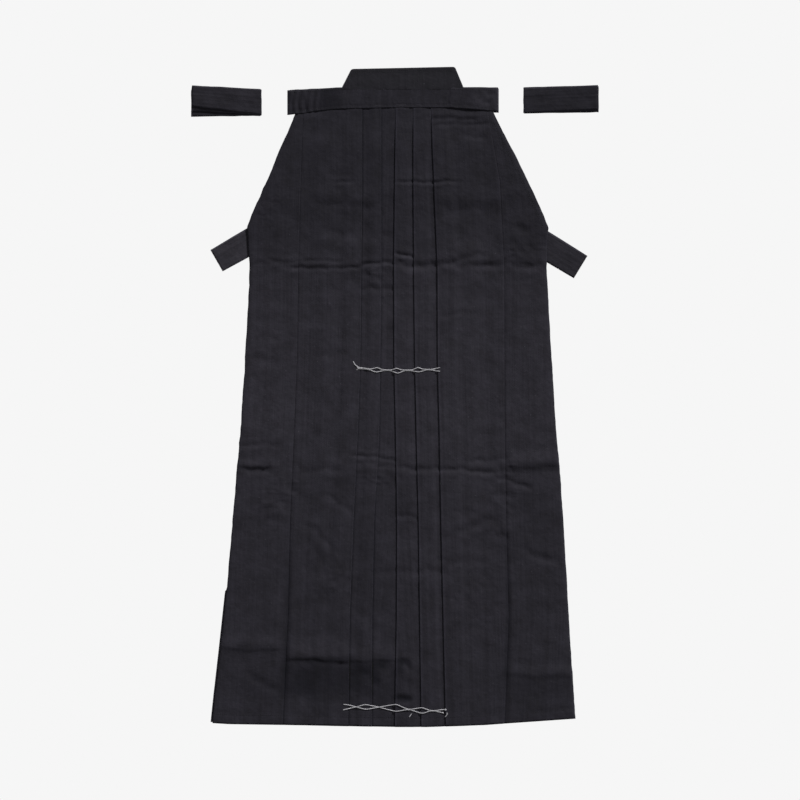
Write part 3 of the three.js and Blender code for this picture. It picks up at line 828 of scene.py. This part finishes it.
# Heights of the middle of its wall: below the folded ends, above them, and at its lower edge over
# the board, from where it falls to its upper edge.
BAND_LOW = 0.7
BAND_HIGH = 4.3
BAND_ON_BOARD = 7.75
BAND_FALL = 1.9
# Where threads pull across it: the place, the lean from the lower to the upper edge, the height.
BAND_LINES = [(-21, -2, -0.8), (-10, 1, 0.6), (-38, 0, 0.3), (89, 5, 0.6), (83, 4, -0.4)]
BOARD_THICKNESS = 3.4
BOARD_LIFT = 3.6  # of its lower edge, as it is tipped
BOARD_LOWER_Y = 465
BOARD_UPPER_Y = 528


def band_cloth():
    """The band over the top of the front, folded back under itself at both ends."""
    low, high, middle = BAND_LOW, BAND_HIGH, BAND_ON_BOARD
    radius = (high - low) / 2
    half_way = (high + middle) / 2
    rounds = [(radius * (1 - math.sin(a)), radius * (1 - math.cos(a))) for a in TURN_ANGLES]
    path = [(-125, low, 0)]
    path += [(BAND_RIGHT_END + inwards, low + rise, 0) for inwards, rise in rounds]
    path += [
        (-136, high + 0.3, 0), (-120, half_way, 0.5), (-104, middle - 0.2, 1), (-90, middle, 1),
        (124, middle, 1), (132, middle - 0.4, 1), (141, half_way, 0.6), (151, high + 0.2, 0)]
    path += [(BAND_LEFT_END - inwards, high - rise, 0) for inwards, rise in rounds]
    path += [(132, low, 0)]
    points = []
    for (x0, z0, t0), (x1, z1, t1) in zip(path, path[1:]):
        parts = max(1, int(round(abs(x1 - x0) / 1.8)))
        for share in np.arange(parts) / parts:
            points.append((x0 + (x1 - x0) * share, z0 + (z1 - z0) * share,
                           t0 + (t1 - t0) * share))
    points.append(path[-1])
    points = np.array(points)
    across = np.linspace(0, 1, 23)[:, None]
    x = np.broadcast_to(points[:, 0], (len(across), len(points)))
    upper = column(BAND_EDGES, "x", x, "upper")
    lower = column(BAND_EDGES, "x", x, "lower")
    place = np.arange(len(points))
    beneath = (place > np.argmax(points[:, 0])) * 2.6
    x = x + 0.6 * beneath
    y = lower + (upper - lower) * across - beneath + 0.4 * rumple(x, across, 13, 1, 25)
    z = points[:, 1] - BAND_FALL * across * points[:, 2]
    on_top = smooth(z, high - 0.9, high) * (place > np.argmin(points[:, 0]))
    middle_part = np.sin(np.pi * across) ** 0.5
    gathered = smooth(-x, 116, 130) * (1 - smooth(-x, 166, 172))
    waves = (x + 167.5 + 1.8 * np.sin(y / 8) + 1.5 * np.sin(x / 9)) / 10.4
    folds = np.cos(2 * np.pi * waves) + 0.9 * rumple(x, y, 5, 18, 26)
    z = z + on_top * gathered * (0.35 + 0.65 * middle_part) * (1.05 * folds + 0.5)
    z = z - on_top * bell(x + 104, 13) * 0.6 * (1 - across) ** 2
    lumpy = smooth(x, 112, 128)
    z = z + on_top * (0.22 * rumple(x, y, 24, 12, 21) + lumpy * 1.1 * rumple(x, y, 8, 7, 22))
    for at, lean, height in BAND_LINES:
        pulled = bell(x - at - lean * across, 3.2)
        z = z + on_top * 1.3 * height * (0.3 + 0.7 * middle_part) * pulled
    z = z - on_top * 0.4 * bell(across - 0.14, 0.045)  # along the lower row of stitches
    z = z - on_top * smooth(across, 0.93, 1)
    # Painted shade: the band is darker all along, as at the waist of the front, and most where it
    # dips beside the board at x -104; it is lighter over its lumpy end at the wearer's left.
    tone = -1.5 - 1.3 * bell(x + 104, 18, 4) + 0.5 * lumpy
    return sheet("front_band_cloth", x, y, z, wall=BAND_WALL, tone=tone)


def deselect_objects():
    for other in bpy.context.selected_objects:
        other.select_set(False)


def select(made, mode, wanted):
    """Selects only this object's edges or faces that wanted says, in edit mode."""
    deselect_objects()
    bpy.context.view_layer.objects.active = made
    made.select_set(True)
    bpy.ops.object.mode_set(mode="EDIT")
    bpy.ops.mesh.select_mode(type=mode)
    bpy.ops.mesh.select_all(action="DESELECT")
    bpy.ops.object.mode_set(mode="OBJECT")
    for item in {"EDGE": made.data.edges, "FACE": made.data.polygons}[mode]:
        item.select = bool(wanted(item))
    bpy.ops.object.mode_set(mode="EDIT")


BOARD_CORNERS = {  # by the side and the end of the block they belong to
    (-1, -1): (-100.3, 465.3),
    (1, -1): (122.2, 465.3),
    (1, 1): (96, 528.9),
    (-1, 1): (-70, 525.4),
}


def board_cover():
    """The board of the back in its cloth: a thin block, tapered to a trapezium, its edges rounded,
    tipped so that its top edge lies on the surface."""
    deselect_objects()
    bpy.ops.mesh.primitive_cube_add(size=1, location=(0, 0, 0))
    made = bpy.context.object
    made.name = "back_board_cloth"
    made.data.name = made.name
    for vertex in made.data.vertices:
        x, y = BOARD_CORNERS[(1 if vertex.co.x > 0 else -1, 1 if vertex.co.y > 0 else -1)]
        z = BOARD_THICKNESS if vertex.co.z > 0 else 0
        vertex.co = Vector((x, y, z)) * MM

    def upright(edge):
        low, high = (made.data.vertices[i].co.z for i in edge.vertices)
        return abs(low - high) > 1 * MM

    select(made, "EDGE", upright)
    bpy.ops.mesh.bevel(offset=3.2 * MM, segments=4, affect="EDGES")
    bpy.ops.mesh.select_all(action="SELECT")
    bpy.ops.object.mode_set(mode="OBJECT")
    bevel = made.modifiers.new("soft edges", "BEVEL")
    bevel.width = 1.3 * MM
    bevel.segments = 4
    bevel.limit_method = "ANGLE"
    bpy.ops.object.modifier_apply(modifier=bevel.name)
    select(made, "FACE", lambda face: True)
    bpy.ops.mesh.quads_convert_to_tris()
    bpy.ops.mesh.subdivide(number_cuts=1)
    bpy.ops.object.mode_set(mode="OBJECT")
    remesh = made.modifiers.new("even mesh", "REMESH")
    remesh.mode = "VOXEL"
    remesh.voxel_size = 1.0 * MM
    bpy.ops.object.modifier_apply(modifier=remesh.name)
    slope = BOARD_LIFT / (BOARD_UPPER_Y - BOARD_LOWER_Y)
    for vertex in made.data.vertices:
        x, y, z = vertex.co / MM
        relief = 0.0
        if z > 1.5:  # the upper face
            relief = 1.15 * smooth(y, 490, 493.2) * (1 - smooth(y, 498, 522))
            relief += 0.25 * rumple(x, y, 26, 40, 31) + 0.1 * rumple(x, y, 6, 46, 32)
            relief += 0.5 * bell(x + 10, 5) * (1 - smooth(y, 492, 510))
            relief -= 0.5 * bell(x + 20, 5) * (1 - smooth(y, 492, 512))
        vertex.co.z = (z + slope * (BOARD_UPPER_Y - y) + float(relief)) * MM
    uv = made.data.uv_layers.new(name="cloth")
    for loop in made.data.loops:
        uv.data[loop.index].uv = made.data.vertices[loop.vertex_index].co.xy
    made.data.attributes.new("wear_and_highlight", "FLOAT", "POINT")
    smooth_shaded(made)
    return made


# ---------------------------------------------------------------- threads

BASTING_RADIUS = 0.72
KNOT_RADIUS = 0.6
SEWING_RADIUS = 0.24
TWO_PLIES = 0.16  # how far the plies stand out of the round, as a share of the radius
STITCH_PITCH = 3.2
STITCH_LENGTH = 2.5


def tube(name, paths, radius, sides, lobes=0.0):
    """Threads along paths of points in millimetres, joined in one mesh with closed ends. With
    lobes they show the twist of two plies."""
    vertices, faces = [], []
    for path in paths:
        path = np.asarray(path, float)
        ahead = np.gradient(path, axis=0)
        ahead /= np.maximum(np.linalg.norm(ahead, axis=1, keepdims=True), 1e-9)
        side = np.cross(ahead, [0, 0, 1])
        side /= np.maximum(np.linalg.norm(side, axis=1, keepdims=True), 1e-9)
        up = np.cross(side, ahead)
        first, last = len(vertices), len(vertices) + (len(path) - 1) * sides
        for i, point in enumerate(path):
            thin = 0.55 if i in (0, len(path) - 1) else 1
            for k in range(sides):
                angle = 2 * math.pi * k / sides
                out = side[i] * math.cos(angle) + up[i] * math.sin(angle)
                round_here = 1 + lobes * math.cos(2 * (angle - 1.1 * i))
                vertices.append((point + out * radius * thin * round_here) * MM)
        for ring in range(first, last, sides):
            for k in range(sides):
                a, b = ring + k, ring + (k + 1) % sides
                faces.append((a, a + sides, b + sides, b))
        faces.append(tuple(range(first, first + sides)))
        faces.append(tuple(reversed(range(last, last + sides))))
    made = mesh_object(name, vertices, faces)
    smooth_shaded(made)
    return made


def surface_over(pieces):
    """A function that gives the height of the cloth at (x, y), by looking down on the pieces."""
    depsgraph = bpy.context.evaluated_depsgraph_get()
    trees = [BVHTree.FromObject(piece, depsgraph) for piece in pieces]

    def height(x, y):
        above = Vector((x, y, 60)) * MM
        hits = [tree.ray_cast(above, Vector((0, 0, -1)))[0] for tree in trees]
        return max((hit.z / MM for hit in hits if hit), default=0.0)

    return np.vectorize(height, otypes=[float])


def curve(points):
    """A smooth line through points, with a point about every 0.8 mm."""
    points = np.asarray(points, float)
    padded = np.vstack([2 * points[0] - points[1], points, 2 * points[-1] - points[-2]])
    line = []
    for a, b, c, d in zip(padded, padded[1:], padded[2:], padded[3:]):
        parts = max(2, int(np.linalg.norm(c - b) / 0.8))
        for t in np.arange(parts) / parts:
            line.append(0.5 * (2 * b + (c - a) * t + (2 * a - 5 * b + 4 * c - d) * t ** 2
                               + (3 * b - a - 3 * c + d) * t ** 3))
    line.append(points[-1])
    return np.array(line)


# Strands of the basting as points (x, y, height over the cloth), from the wearer's right.
UPPER_BASTING = [
    [(-67.1, 57, 0.3), (-63.8, 51.6, 0.7), (-59.2, 48, 0.9), (-58.4, 45.8, 0.6), (-61.6, 43, 0.2)],
    [(-59.6, 47.6, 0.5), (-50, 46.2, 1.0), (-40, 44.8, 0.8), (-34.5, 45.6, 0.7), (-28.6, 46.9, 0.8),
     (-22.5, 44.7, 0.9), (-16, 43.4, 1.0), (-7, 43.2, 1.0), (-2, 44.4, 0.8), (3.1, 45.6, 0.8),
     (9.5, 43.5, 0.9), (15, 43.1, 1.0), (26, 43.2, 1.0), (31.5, 45, 0.8), (37.3, 46.9, 0.8),
     (43.5, 44.8, 0.9), (49, 44.2, 1.0), (59, 44.2, 1.0), (65, 45.3, 0.7), (72, 47.2, 0.3)],
    [(-59.8, 45.4, 0.3), (-50, 44.8, 0.6), (-40, 43.3, 0.6), (-34.5, 41, 0.6), (-28.6, 39.9, 0.7),
     (-22.5, 41.3, 0.6), (-16, 42.2, 0.5), (-7, 41.9, 0.5), (-2, 40, 0.6), (4.5, 38.2, 0.7),
     (10, 40, 0.6), (15.5, 41.8, 0.5), (26, 41.9, 0.5), (31.5, 41, 0.6), (37.8, 40.2, 0.7),
     (43.8, 41.4, 0.6), (49, 42.9, 0.5), (59, 42.9, 0.5), (65, 41.9, 0.6), (72, 41, 0.3)],
]
LOWER_BASTING = [
    [(-82.6, -491.7, 0.3), (-74, -492.9, 0.7), (-64, -495.6, 0.6), (-58, -497.2, 0.6),
     (-47, -499.5, 0.7), (-37, -498.4, 0.7), (-26.5, -496.6, 1.0), (-18, -494.9, 0.8),
     (-8, -493.3, 0.7), (2, -492, 0.8), (11, -495.6, 0.8), (20.5, -499.4, 0.6), (28, -501.6, 0.6),
     (36, -504.2, 0.6), (43.5, -505.9, 0.7), (50, -504.3, 0.7), (56, -502.7, 0.6),
     (65, -502.9, 0.5), (71, -504, 0.6), (77, -505.4, 0.6)],
    [(-83.2, -500.8, 0.3), (-74, -498.6, 0.7), (-64, -496.4, 1.0), (-57, -494.5, 0.8),
     (-47, -492.3, 0.7), (-37, -494, 0.7), (-26.5, -496.2, 0.6), (-18, -498.4, 0.6),
     (-8, -501, 0.7), (2, -502.8, 0.8), (11, -501.4, 0.8), (20.5, -500, 1.0), (28, -499.4, 1.0),
     (36, -498, 0.8), (43.5, -497.3, 0.8), (50, -499.4, 0.8), (56, -501.4, 1.0),
     (65, -501.6, 1.0), (72, -500.6, 0.8), (80.5, -500, 0.8)],
    [(26.6, -506.8, 0.4), (24.9, -509, 0.7), (22.6, -512.4, 0.4)],
    [(83.4, -505, 0.4), (82.8, -508.4, 0.8), (79.8, -512.2, 0.4)],
]
# Places of the knots as (x, y), and their size.
KNOTS = [(-59.4, 46.8, 1.5), (80.9, -500.2, 1.6), (77, -505.2, 1.4), (22, -500, 1.2)]


def basting(name, strands, height):
    """Strands of soft cotton laid over the pleats. They span the steps between the layers."""
    paths = []
    for strand in strands:
        line = curve(strand)
        around = [height(line[:, 0] + shift, line[:, 1]) for shift in np.linspace(-2.5, 2.5, 6)]
        line[:, 2] += np.mean(around, axis=0) * 0.35 + np.max(around, axis=0) * 0.65 - 0.15
        paths.append(line)
    return tube(name, paths, BASTING_RADIUS, 8, TWO_PLIES)


def knots(height):
    """Small tight knots at the ends of the basting."""
    paths = []
    for x, y, size in KNOTS:
        angle = np.linspace(0, 5.2 * math.pi, 40)
        level = float(height(x, y)) + 0.9
        paths.append(np.column_stack([
            x + 0.55 * size * np.cos(angle),
            y + 0.5 * size * np.sin(angle),
            level + 0.35 * size * np.sin(angle * 0.7)]))
    return tube("basting_knots", paths, KNOT_RADIUS, 8, TWO_PLIES)


def stitches(name, lines, height):
    """Rows of sewing stitches along lines of (x, y) points on the cloth, sunk at both ends."""
    paths = []
    for line in lines:
        line = np.asarray(line, float)
        run = run_along(line)
        for begin in np.arange(0, run[-1] - STITCH_LENGTH, STITCH_PITCH):
            at = begin + STITCH_LENGTH * np.array([0, 0.2, 0.5, 0.8, 1])
            x, y = (np.interp(at, run, line[:, axis]) for axis in (0, 1))
            level = height(x, y) + np.array([-0.25, 0.05, 0.14, 0.05, -0.25])
            paths.append(np.column_stack([x, y, level]))
    return tube(name, paths, SEWING_RADIUS, 5)


def hem_stitching():
    """One row along the top of the hem."""
    x = np.arange(-290, 287, 4)
    return [np.column_stack([x, column(HEM_LINE, "x", x, "y") + HEM_DEPTH])]


def slit_stitching():
    """Two rows inside each edge of the slits."""
    y = np.arange(446, 268, -4)
    lines = []
    for side, outwards in (("right", -1), ("left", 1)):
        for inset in (7, 9.5):
            lines.append(np.column_stack([column(OUTLINE, "y", y, side) - outwards * inset, y]))
    return lines


def band_stitching():
    """A row near each edge of the band."""
    x = np.arange(-168, 162, 4)
    lower, upper = (column(BAND_EDGES, "x", x, edge) for edge in ("lower", "upper"))
    return [np.column_stack([x, lower + share * (upper - lower)]) for share in (0.12, 0.9)]


BOARD_STITCHING = [
    [(-79.5, 498.5), (-66.5, 521.2), (93.5, 524.6), (104.3, 498.5)],
    [(-76.8, 498.5), (-65, 519), (91.8, 522.2), (101.5, 498.5)],
]


def tie_stitching(tie):
    """A line along both edges of the end of a tie that shows, and across it."""
    start, end = np.array(tie["start"], float), np.array(tie["end"], float)
    along = (end - start) / np.linalg.norm(end - start)
    across = np.array([-along[1], along[0]]) * (tie["width"] / 2 - 2.5)
    near, far = end - along * 52, end - along * 2.5
    return [[near + across, far + across, far - across, near - across]]


# ---------------------------------------------------------------- materials

def linear(hex_colour):
    """An sRGB hex colour as linear red, green, blue and alpha."""
    parts = [int(hex_colour[i:i + 2], 16) / 255 for i in (0, 2, 4)]
    return [p / 12.92 if p <= 0.04045 else ((p + 0.055) / 1.055) ** 2.4 for p in parts] + [1]


def add(tree, kind, inputs=None, **settings):
    """Adds a node. A socket among the inputs is linked, and any other value is set."""
    made = tree.nodes.new(kind)
    for key, value in settings.items():
        setattr(made, key, value)
    for key, value in (inputs or {}).items():
        if isinstance(value, bpy.types.NodeSocket):
            tree.links.new(value, made.inputs[key])
        else:
            made.inputs[key].default_value = value
    return made


def new_material(name):
    material = bpy.data.materials.new(name)
    material.use_nodes = True
    tree = material.node_tree
    tree.nodes.clear()
    return material, tree


# How the cloth varies, in its own measure: scale, detail and stretch of each noise.
GRAIN = {
    "slubs": (1, 3, (700, 90, 1)),  # thick places in the warp, 1.4 mm wide and 11 mm long
    "weft": (1, 3, (90, 600, 1)),
    "streaks": (1, 3, (110, 1.6, 1)),  # lines of warp, 9 mm wide and 0.6 m long
    "patches": (32, 3, (1, 1, 1)),  # 30 mm across
    "specks": (420, 1, (1, 1, 1)),
    "pulls": (90, 2, (1, 1, 1)),  # small dents where threads pull, 6 to 20 mm across
    "lines": (1, 2, (160, 5, 1)),  # soft lines along the warp
}
# Each is made of two others, the second with this share.
BLENDS = {
    "yarns": ("slubs", "weft", 0.4),
    "wide": ("streaks", "patches", 0.65),
    "mixed": ("yarns", "wide", 0.68),
    "fine": ("wales", "yarns", 0.6),
    "dents": ("pulls", "lines", 0.45),
}
# A twill line is 0.9 mm wide on the real cloth. At 2.4 mm it is as coarse as it needs to show.
WALE_SCALE = 130
WALE_TURN = math.radians(58)
TONE_STRENGTH = (0.25, 0.25, 0.225)  # darker tone and painted shade lose a little less of their blue


def twill(name, yarn, pale, worn_and_lit, sheen):
    """Reactive-dyed cotton twill: matt, near black, with a violet cast. The yarn takes dye a little
    unevenly, folds and edges are paler, partly rubbed and partly painted highlight, the tone
    attribute darkens and lightens it with the cloth's own tone and with painted shade and light,
    and the nap gives a soft sheen at low angles."""
    material, tree = new_material(name)
    cloth = add(tree, "ShaderNodeUVMap", uv_map="cloth").outputs["UV"]
    turned = add(tree, "ShaderNodeMapping", {"Vector": cloth, "Rotation": (0, 0, WALE_TURN)})
    wales = add(tree, "ShaderNodeTexWave", {
        "Vector": turned.outputs["Vector"], "Scale": WALE_SCALE, "Distortion": 1.4, "Detail": 2,
        "Detail Scale": 2.0}, wave_type="BANDS", bands_direction="X", wave_profile="SIN")
    grain = {"wales": wales.outputs["Fac"]}
    for key, (scale, detail, stretch) in GRAIN.items():
        place = add(tree, "ShaderNodeMapping", {"Vector": cloth, "Scale": stretch})
        grain[key] = add(tree, "ShaderNodeTexNoise", {
            "Vector": place.outputs["Vector"], "Scale": scale, "Detail": detail,
            "Roughness": 0.6}).outputs["Fac"]
    for key, (first, second, share) in BLENDS.items():
        grain[key] = add(tree, "ShaderNodeMix", {
            "A": grain[first], "B": grain[second], "Factor": share},
            data_type="FLOAT").outputs["Result"]
    shade = add(tree, "ShaderNodeMapRange", {
        "Value": grain["mixed"], "From Min": 0.37, "From Max": 0.63})
    body = add(tree, "ShaderNodeMix", {
        "Factor": shade.outputs["Result"], "A": linear(yarn), "B": linear(pale)},
        data_type="RGBA")
    rub_and_highlight = add(tree, "ShaderNodeAttribute", attribute_name="wear_and_highlight")
    rub_and_highlight_amount = add(tree, "ShaderNodeMath", {0: rub_and_highlight.outputs["Fac"], 1: 0.8}, operation="MULTIPLY")
    colour = add(tree, "ShaderNodeMix", {
        "Factor": rub_and_highlight_amount.outputs["Value"], "A": body.outputs["Result"], "B": linear(worn_and_lit)},
        data_type="RGBA")
    # Lint: pale specks under a millimetre across, drawn at 2 mm.
    lint = add(tree, "ShaderNodeMapRange", {
        "Value": grain["specks"], "From Min": 0.72, "From Max": 0.8, "To Max": 0.35})
    dusted = add(tree, "ShaderNodeMix", {
        "Factor": lint.outputs["Result"], "A": colour.outputs["Result"], "B": linear("6d6c74")},
        data_type="RGBA")
    fine = add(tree, "ShaderNodeBump", {
        "Height": grain["fine"], "Strength": 0.35, "Distance": 0.0004})
    soft = add(tree, "ShaderNodeBump", {
        "Height": grain["dents"], "Strength": 0.6, "Distance": 0.0035,
        "Normal": fine.outputs["Normal"]})
    # The tone attribute: the cloth's own tone, and on the front and the band painted shade and
    # light.
    tone_and_shade = add(tree, "ShaderNodeAttribute", attribute_name="tone")
    strength = add(tree, "ShaderNodeVectorMath", {
        0: tone_and_shade.outputs["Fac"], 1: TONE_STRENGTH, 2: (1, 1, 1)}, operation="MULTIPLY_ADD")
    toned_and_shaded = add(tree, "ShaderNodeVectorMath", {
        0: dusted.outputs["Result"], 1: strength.outputs["Vector"]}, operation="MULTIPLY")
    surface = add(tree, "ShaderNodeBsdfPrincipled", {
        "Base Color": toned_and_shaded.outputs["Vector"], "Roughness": 0.82, "IOR": 1.45,
        "Specular IOR Level": 0.25, "Sheen Weight": sheen, "Sheen Roughness": 0.5,
        "Sheen Tint": linear("c6c2d8"), "Normal": soft.outputs["Normal"]})
    add(tree, "ShaderNodeOutputMaterial", {"Surface": surface.outputs["BSDF"]})
    return material


def sewing_thread(name, colour, shade_between_plies, roughness):
    """Spun sewing cotton: two plies twisted, paler on the plies, with painted shade in the grooves
    between them.
    """
    material, tree = new_material(name)
    place = add(tree, "ShaderNodeTexCoord").outputs["Object"]
    turned = add(tree, "ShaderNodeMapping", {
        "Vector": place, "Rotation": (0, 0, math.radians(35))})
    # The twist repeats every 1.2 mm, coarser than the real 0.5 mm so that it shows.
    plies = add(tree, "ShaderNodeTexWave", {
        "Vector": turned.outputs["Vector"], "Scale": 260, "Distortion": 2, "Detail": 1})
    body = add(tree, "ShaderNodeMix", {
        "Factor": plies.outputs["Fac"], "A": linear(shade_between_plies), "B": linear(colour)},
        data_type="RGBA")
    bump = add(tree, "ShaderNodeBump", {
        "Height": plies.outputs["Fac"], "Strength": 0.4, "Distance": 0.0002})
    surface = add(tree, "ShaderNodeBsdfPrincipled", {
        "Base Color": body.outputs["Result"], "Roughness": roughness, "IOR": 1.5,
        "Specular IOR Level": 0.3, "Normal": bump.outputs["Normal"]})
    add(tree, "ShaderNodeOutputMaterial", {"Surface": surface.outputs["BSDF"]})
    return material


def white_floor():
    """Seamless white studio board lit from behind, so that it stays an even white."""
    material, tree = new_material("lit white studio board")
    glow = add(tree, "ShaderNodeEmission", {"Color": linear("f6f6f6"), "Strength": 1.0})
    add(tree, "ShaderNodeOutputMaterial", {"Surface": glow.outputs["Emission"]})
    return material


# The third colour of each twill is that of paler folds and edges, partly rubbed wear and partly
# painted highlight.
PANEL_TWILL = twill("black cotton twill", "1d1b21", "2f2d35", "46444e", 0.2)
TIE_TWILL = twill("black cotton twill tie", "1e1c22", "333138", "494751", 0.22)
BOARD_TWILL = twill("black cotton twill on board", "17161b", "201f25", "34323a", 0.12)
# The second colour of each thread is painted shade between its plies.
BLACK_THREAD = sewing_thread("black sewing cotton", "2b2a2f", "151418", 0.7)
WHITE_THREAD = sewing_thread("white basting cotton", "cfced1", "8d8c91", 0.8)


def dress(made, material, node=None):
    """Gives a piece its material and its body, and hides the part of the solids that it stands for.
    """
    made.data.materials.append(material)
    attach(made, "root")
    if node:
        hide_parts(node)
    return made


# ---------------------------------------------------------------- the garment

front_left = dress(front_left_cloth(), PANEL_TWILL, "front_left")
front_right = dress(front_right_cloth(), PANEL_TWILL, "front_right")
side_left = dress(side_cloth("left"), PANEL_TWILL, "front_side_left")
side_right = dress(side_cloth("right"), PANEL_TWILL, "front_side_right")
back_left = dress(back_cloth("left"), PANEL_TWILL, "back_left")
back_right = dress(back_cloth("right"), PANEL_TWILL, "back_right")
gusset = dress(gusset_cloth(), PANEL_TWILL, "gusset")
band = dress(band_cloth(), PANEL_TWILL, "front_band")
board = dress(board_cover(), BOARD_TWILL, "back_board")

tie_right = dress(back_tie_cloth("right"), TIE_TWILL, "back_tie_right")
tie_left = dress(back_tie_cloth("left"), TIE_TWILL, "back_tie_left")
bundle_right = dress(bundle_cloth("right"), TIE_TWILL, "front_tie_right")
bundle_left = dress(bundle_cloth("left"), TIE_TWILL, "front_tie_left")

over_front = surface_over([front_left, front_right, side_left, side_right])
over_straps = surface_over([band, board, tie_right, tie_left])
dress(basting("basting_upper", UPPER_BASTING, over_front), WHITE_THREAD)
dress(basting("basting_lower", LOWER_BASTING, over_front), WHITE_THREAD)
dress(knots(over_front), WHITE_THREAD)
dress(stitches("hem_stitching", hem_stitching() + slit_stitching(), over_front), BLACK_THREAD)
strap_lines = band_stitching() + BOARD_STITCHING
for tie in BACK_TIES.values():
    strap_lines += tie_stitching(tie)
dress(stitches("strap_stitching", strap_lines, over_straps), BLACK_THREAD)

# ---------------------------------------------------------------- studio

FLOOR_HALF = 6
FLOOR_Z = -0.0002  # just under the cloth
floor = mesh_object("floor", [
    (across * FLOOR_HALF, along * FLOOR_HALF, FLOOR_Z)
    for across, along in ((-1, -1), (1, -1), (1, 1), (-1, 1))], [(0, 1, 2, 3)])
floor.data.materials.append(white_floor())

KEY_POWER = 3.5
KEY_SOFTNESS = math.radians(9)
KEY_ELEVATION = math.radians(27)
KEY_AZIMUTH = math.radians(62)  # from +X towards +Y
FILL_PLACE = (-1.8, -1.4, 2.2)
FILL_SIZE = 2
FILL_POWER = 6
SURROUND = 0.19

sun = bpy.data.lights.new("key", "SUN")
sun.energy = KEY_POWER
sun.angle = KEY_SOFTNESS
towards_key = Vector((
    math.cos(KEY_AZIMUTH) * math.cos(KEY_ELEVATION),
    math.sin(KEY_AZIMUTH) * math.cos(KEY_ELEVATION),
    math.sin(KEY_ELEVATION)))
in_scene("key", sun).rotation_euler = towards_key.to_track_quat("Z", "Y").to_euler()

disk = bpy.data.lights.new("fill", "AREA")
disk.shape = "DISK"
disk.size = FILL_SIZE
disk.energy = FILL_POWER
fill = in_scene("fill", disk)
fill.location = FILL_PLACE
fill.rotation_euler = Vector(FILL_PLACE).to_track_quat("Z", "Y").to_euler()

world = bpy.data.worlds.new("studio")
world.use_nodes = True
background = world.node_tree.nodes["Background"]
background.inputs["Color"].default_value = linear("ffffff")
background.inputs["Strength"].default_value = SURROUND
bpy.context.scene.world = world
bpy.context.scene.view_settings.view_transform = "Standard"

VIEW_WIDTH = 1.28
VIEW_CENTRE = (0.008, -0.0048)
TOP_OF_CLOTH = 0.008
LENS = 200
SENSOR = 36
camera = bpy.data.cameras.new("camera")
camera.lens = LENS
camera.sensor_width = SENSOR
eye = in_scene("camera", camera)
eye.location = (*VIEW_CENTRE, TOP_OF_CLOTH + VIEW_WIDTH * LENS / SENSOR)
bpy.context.scene.camera = eye
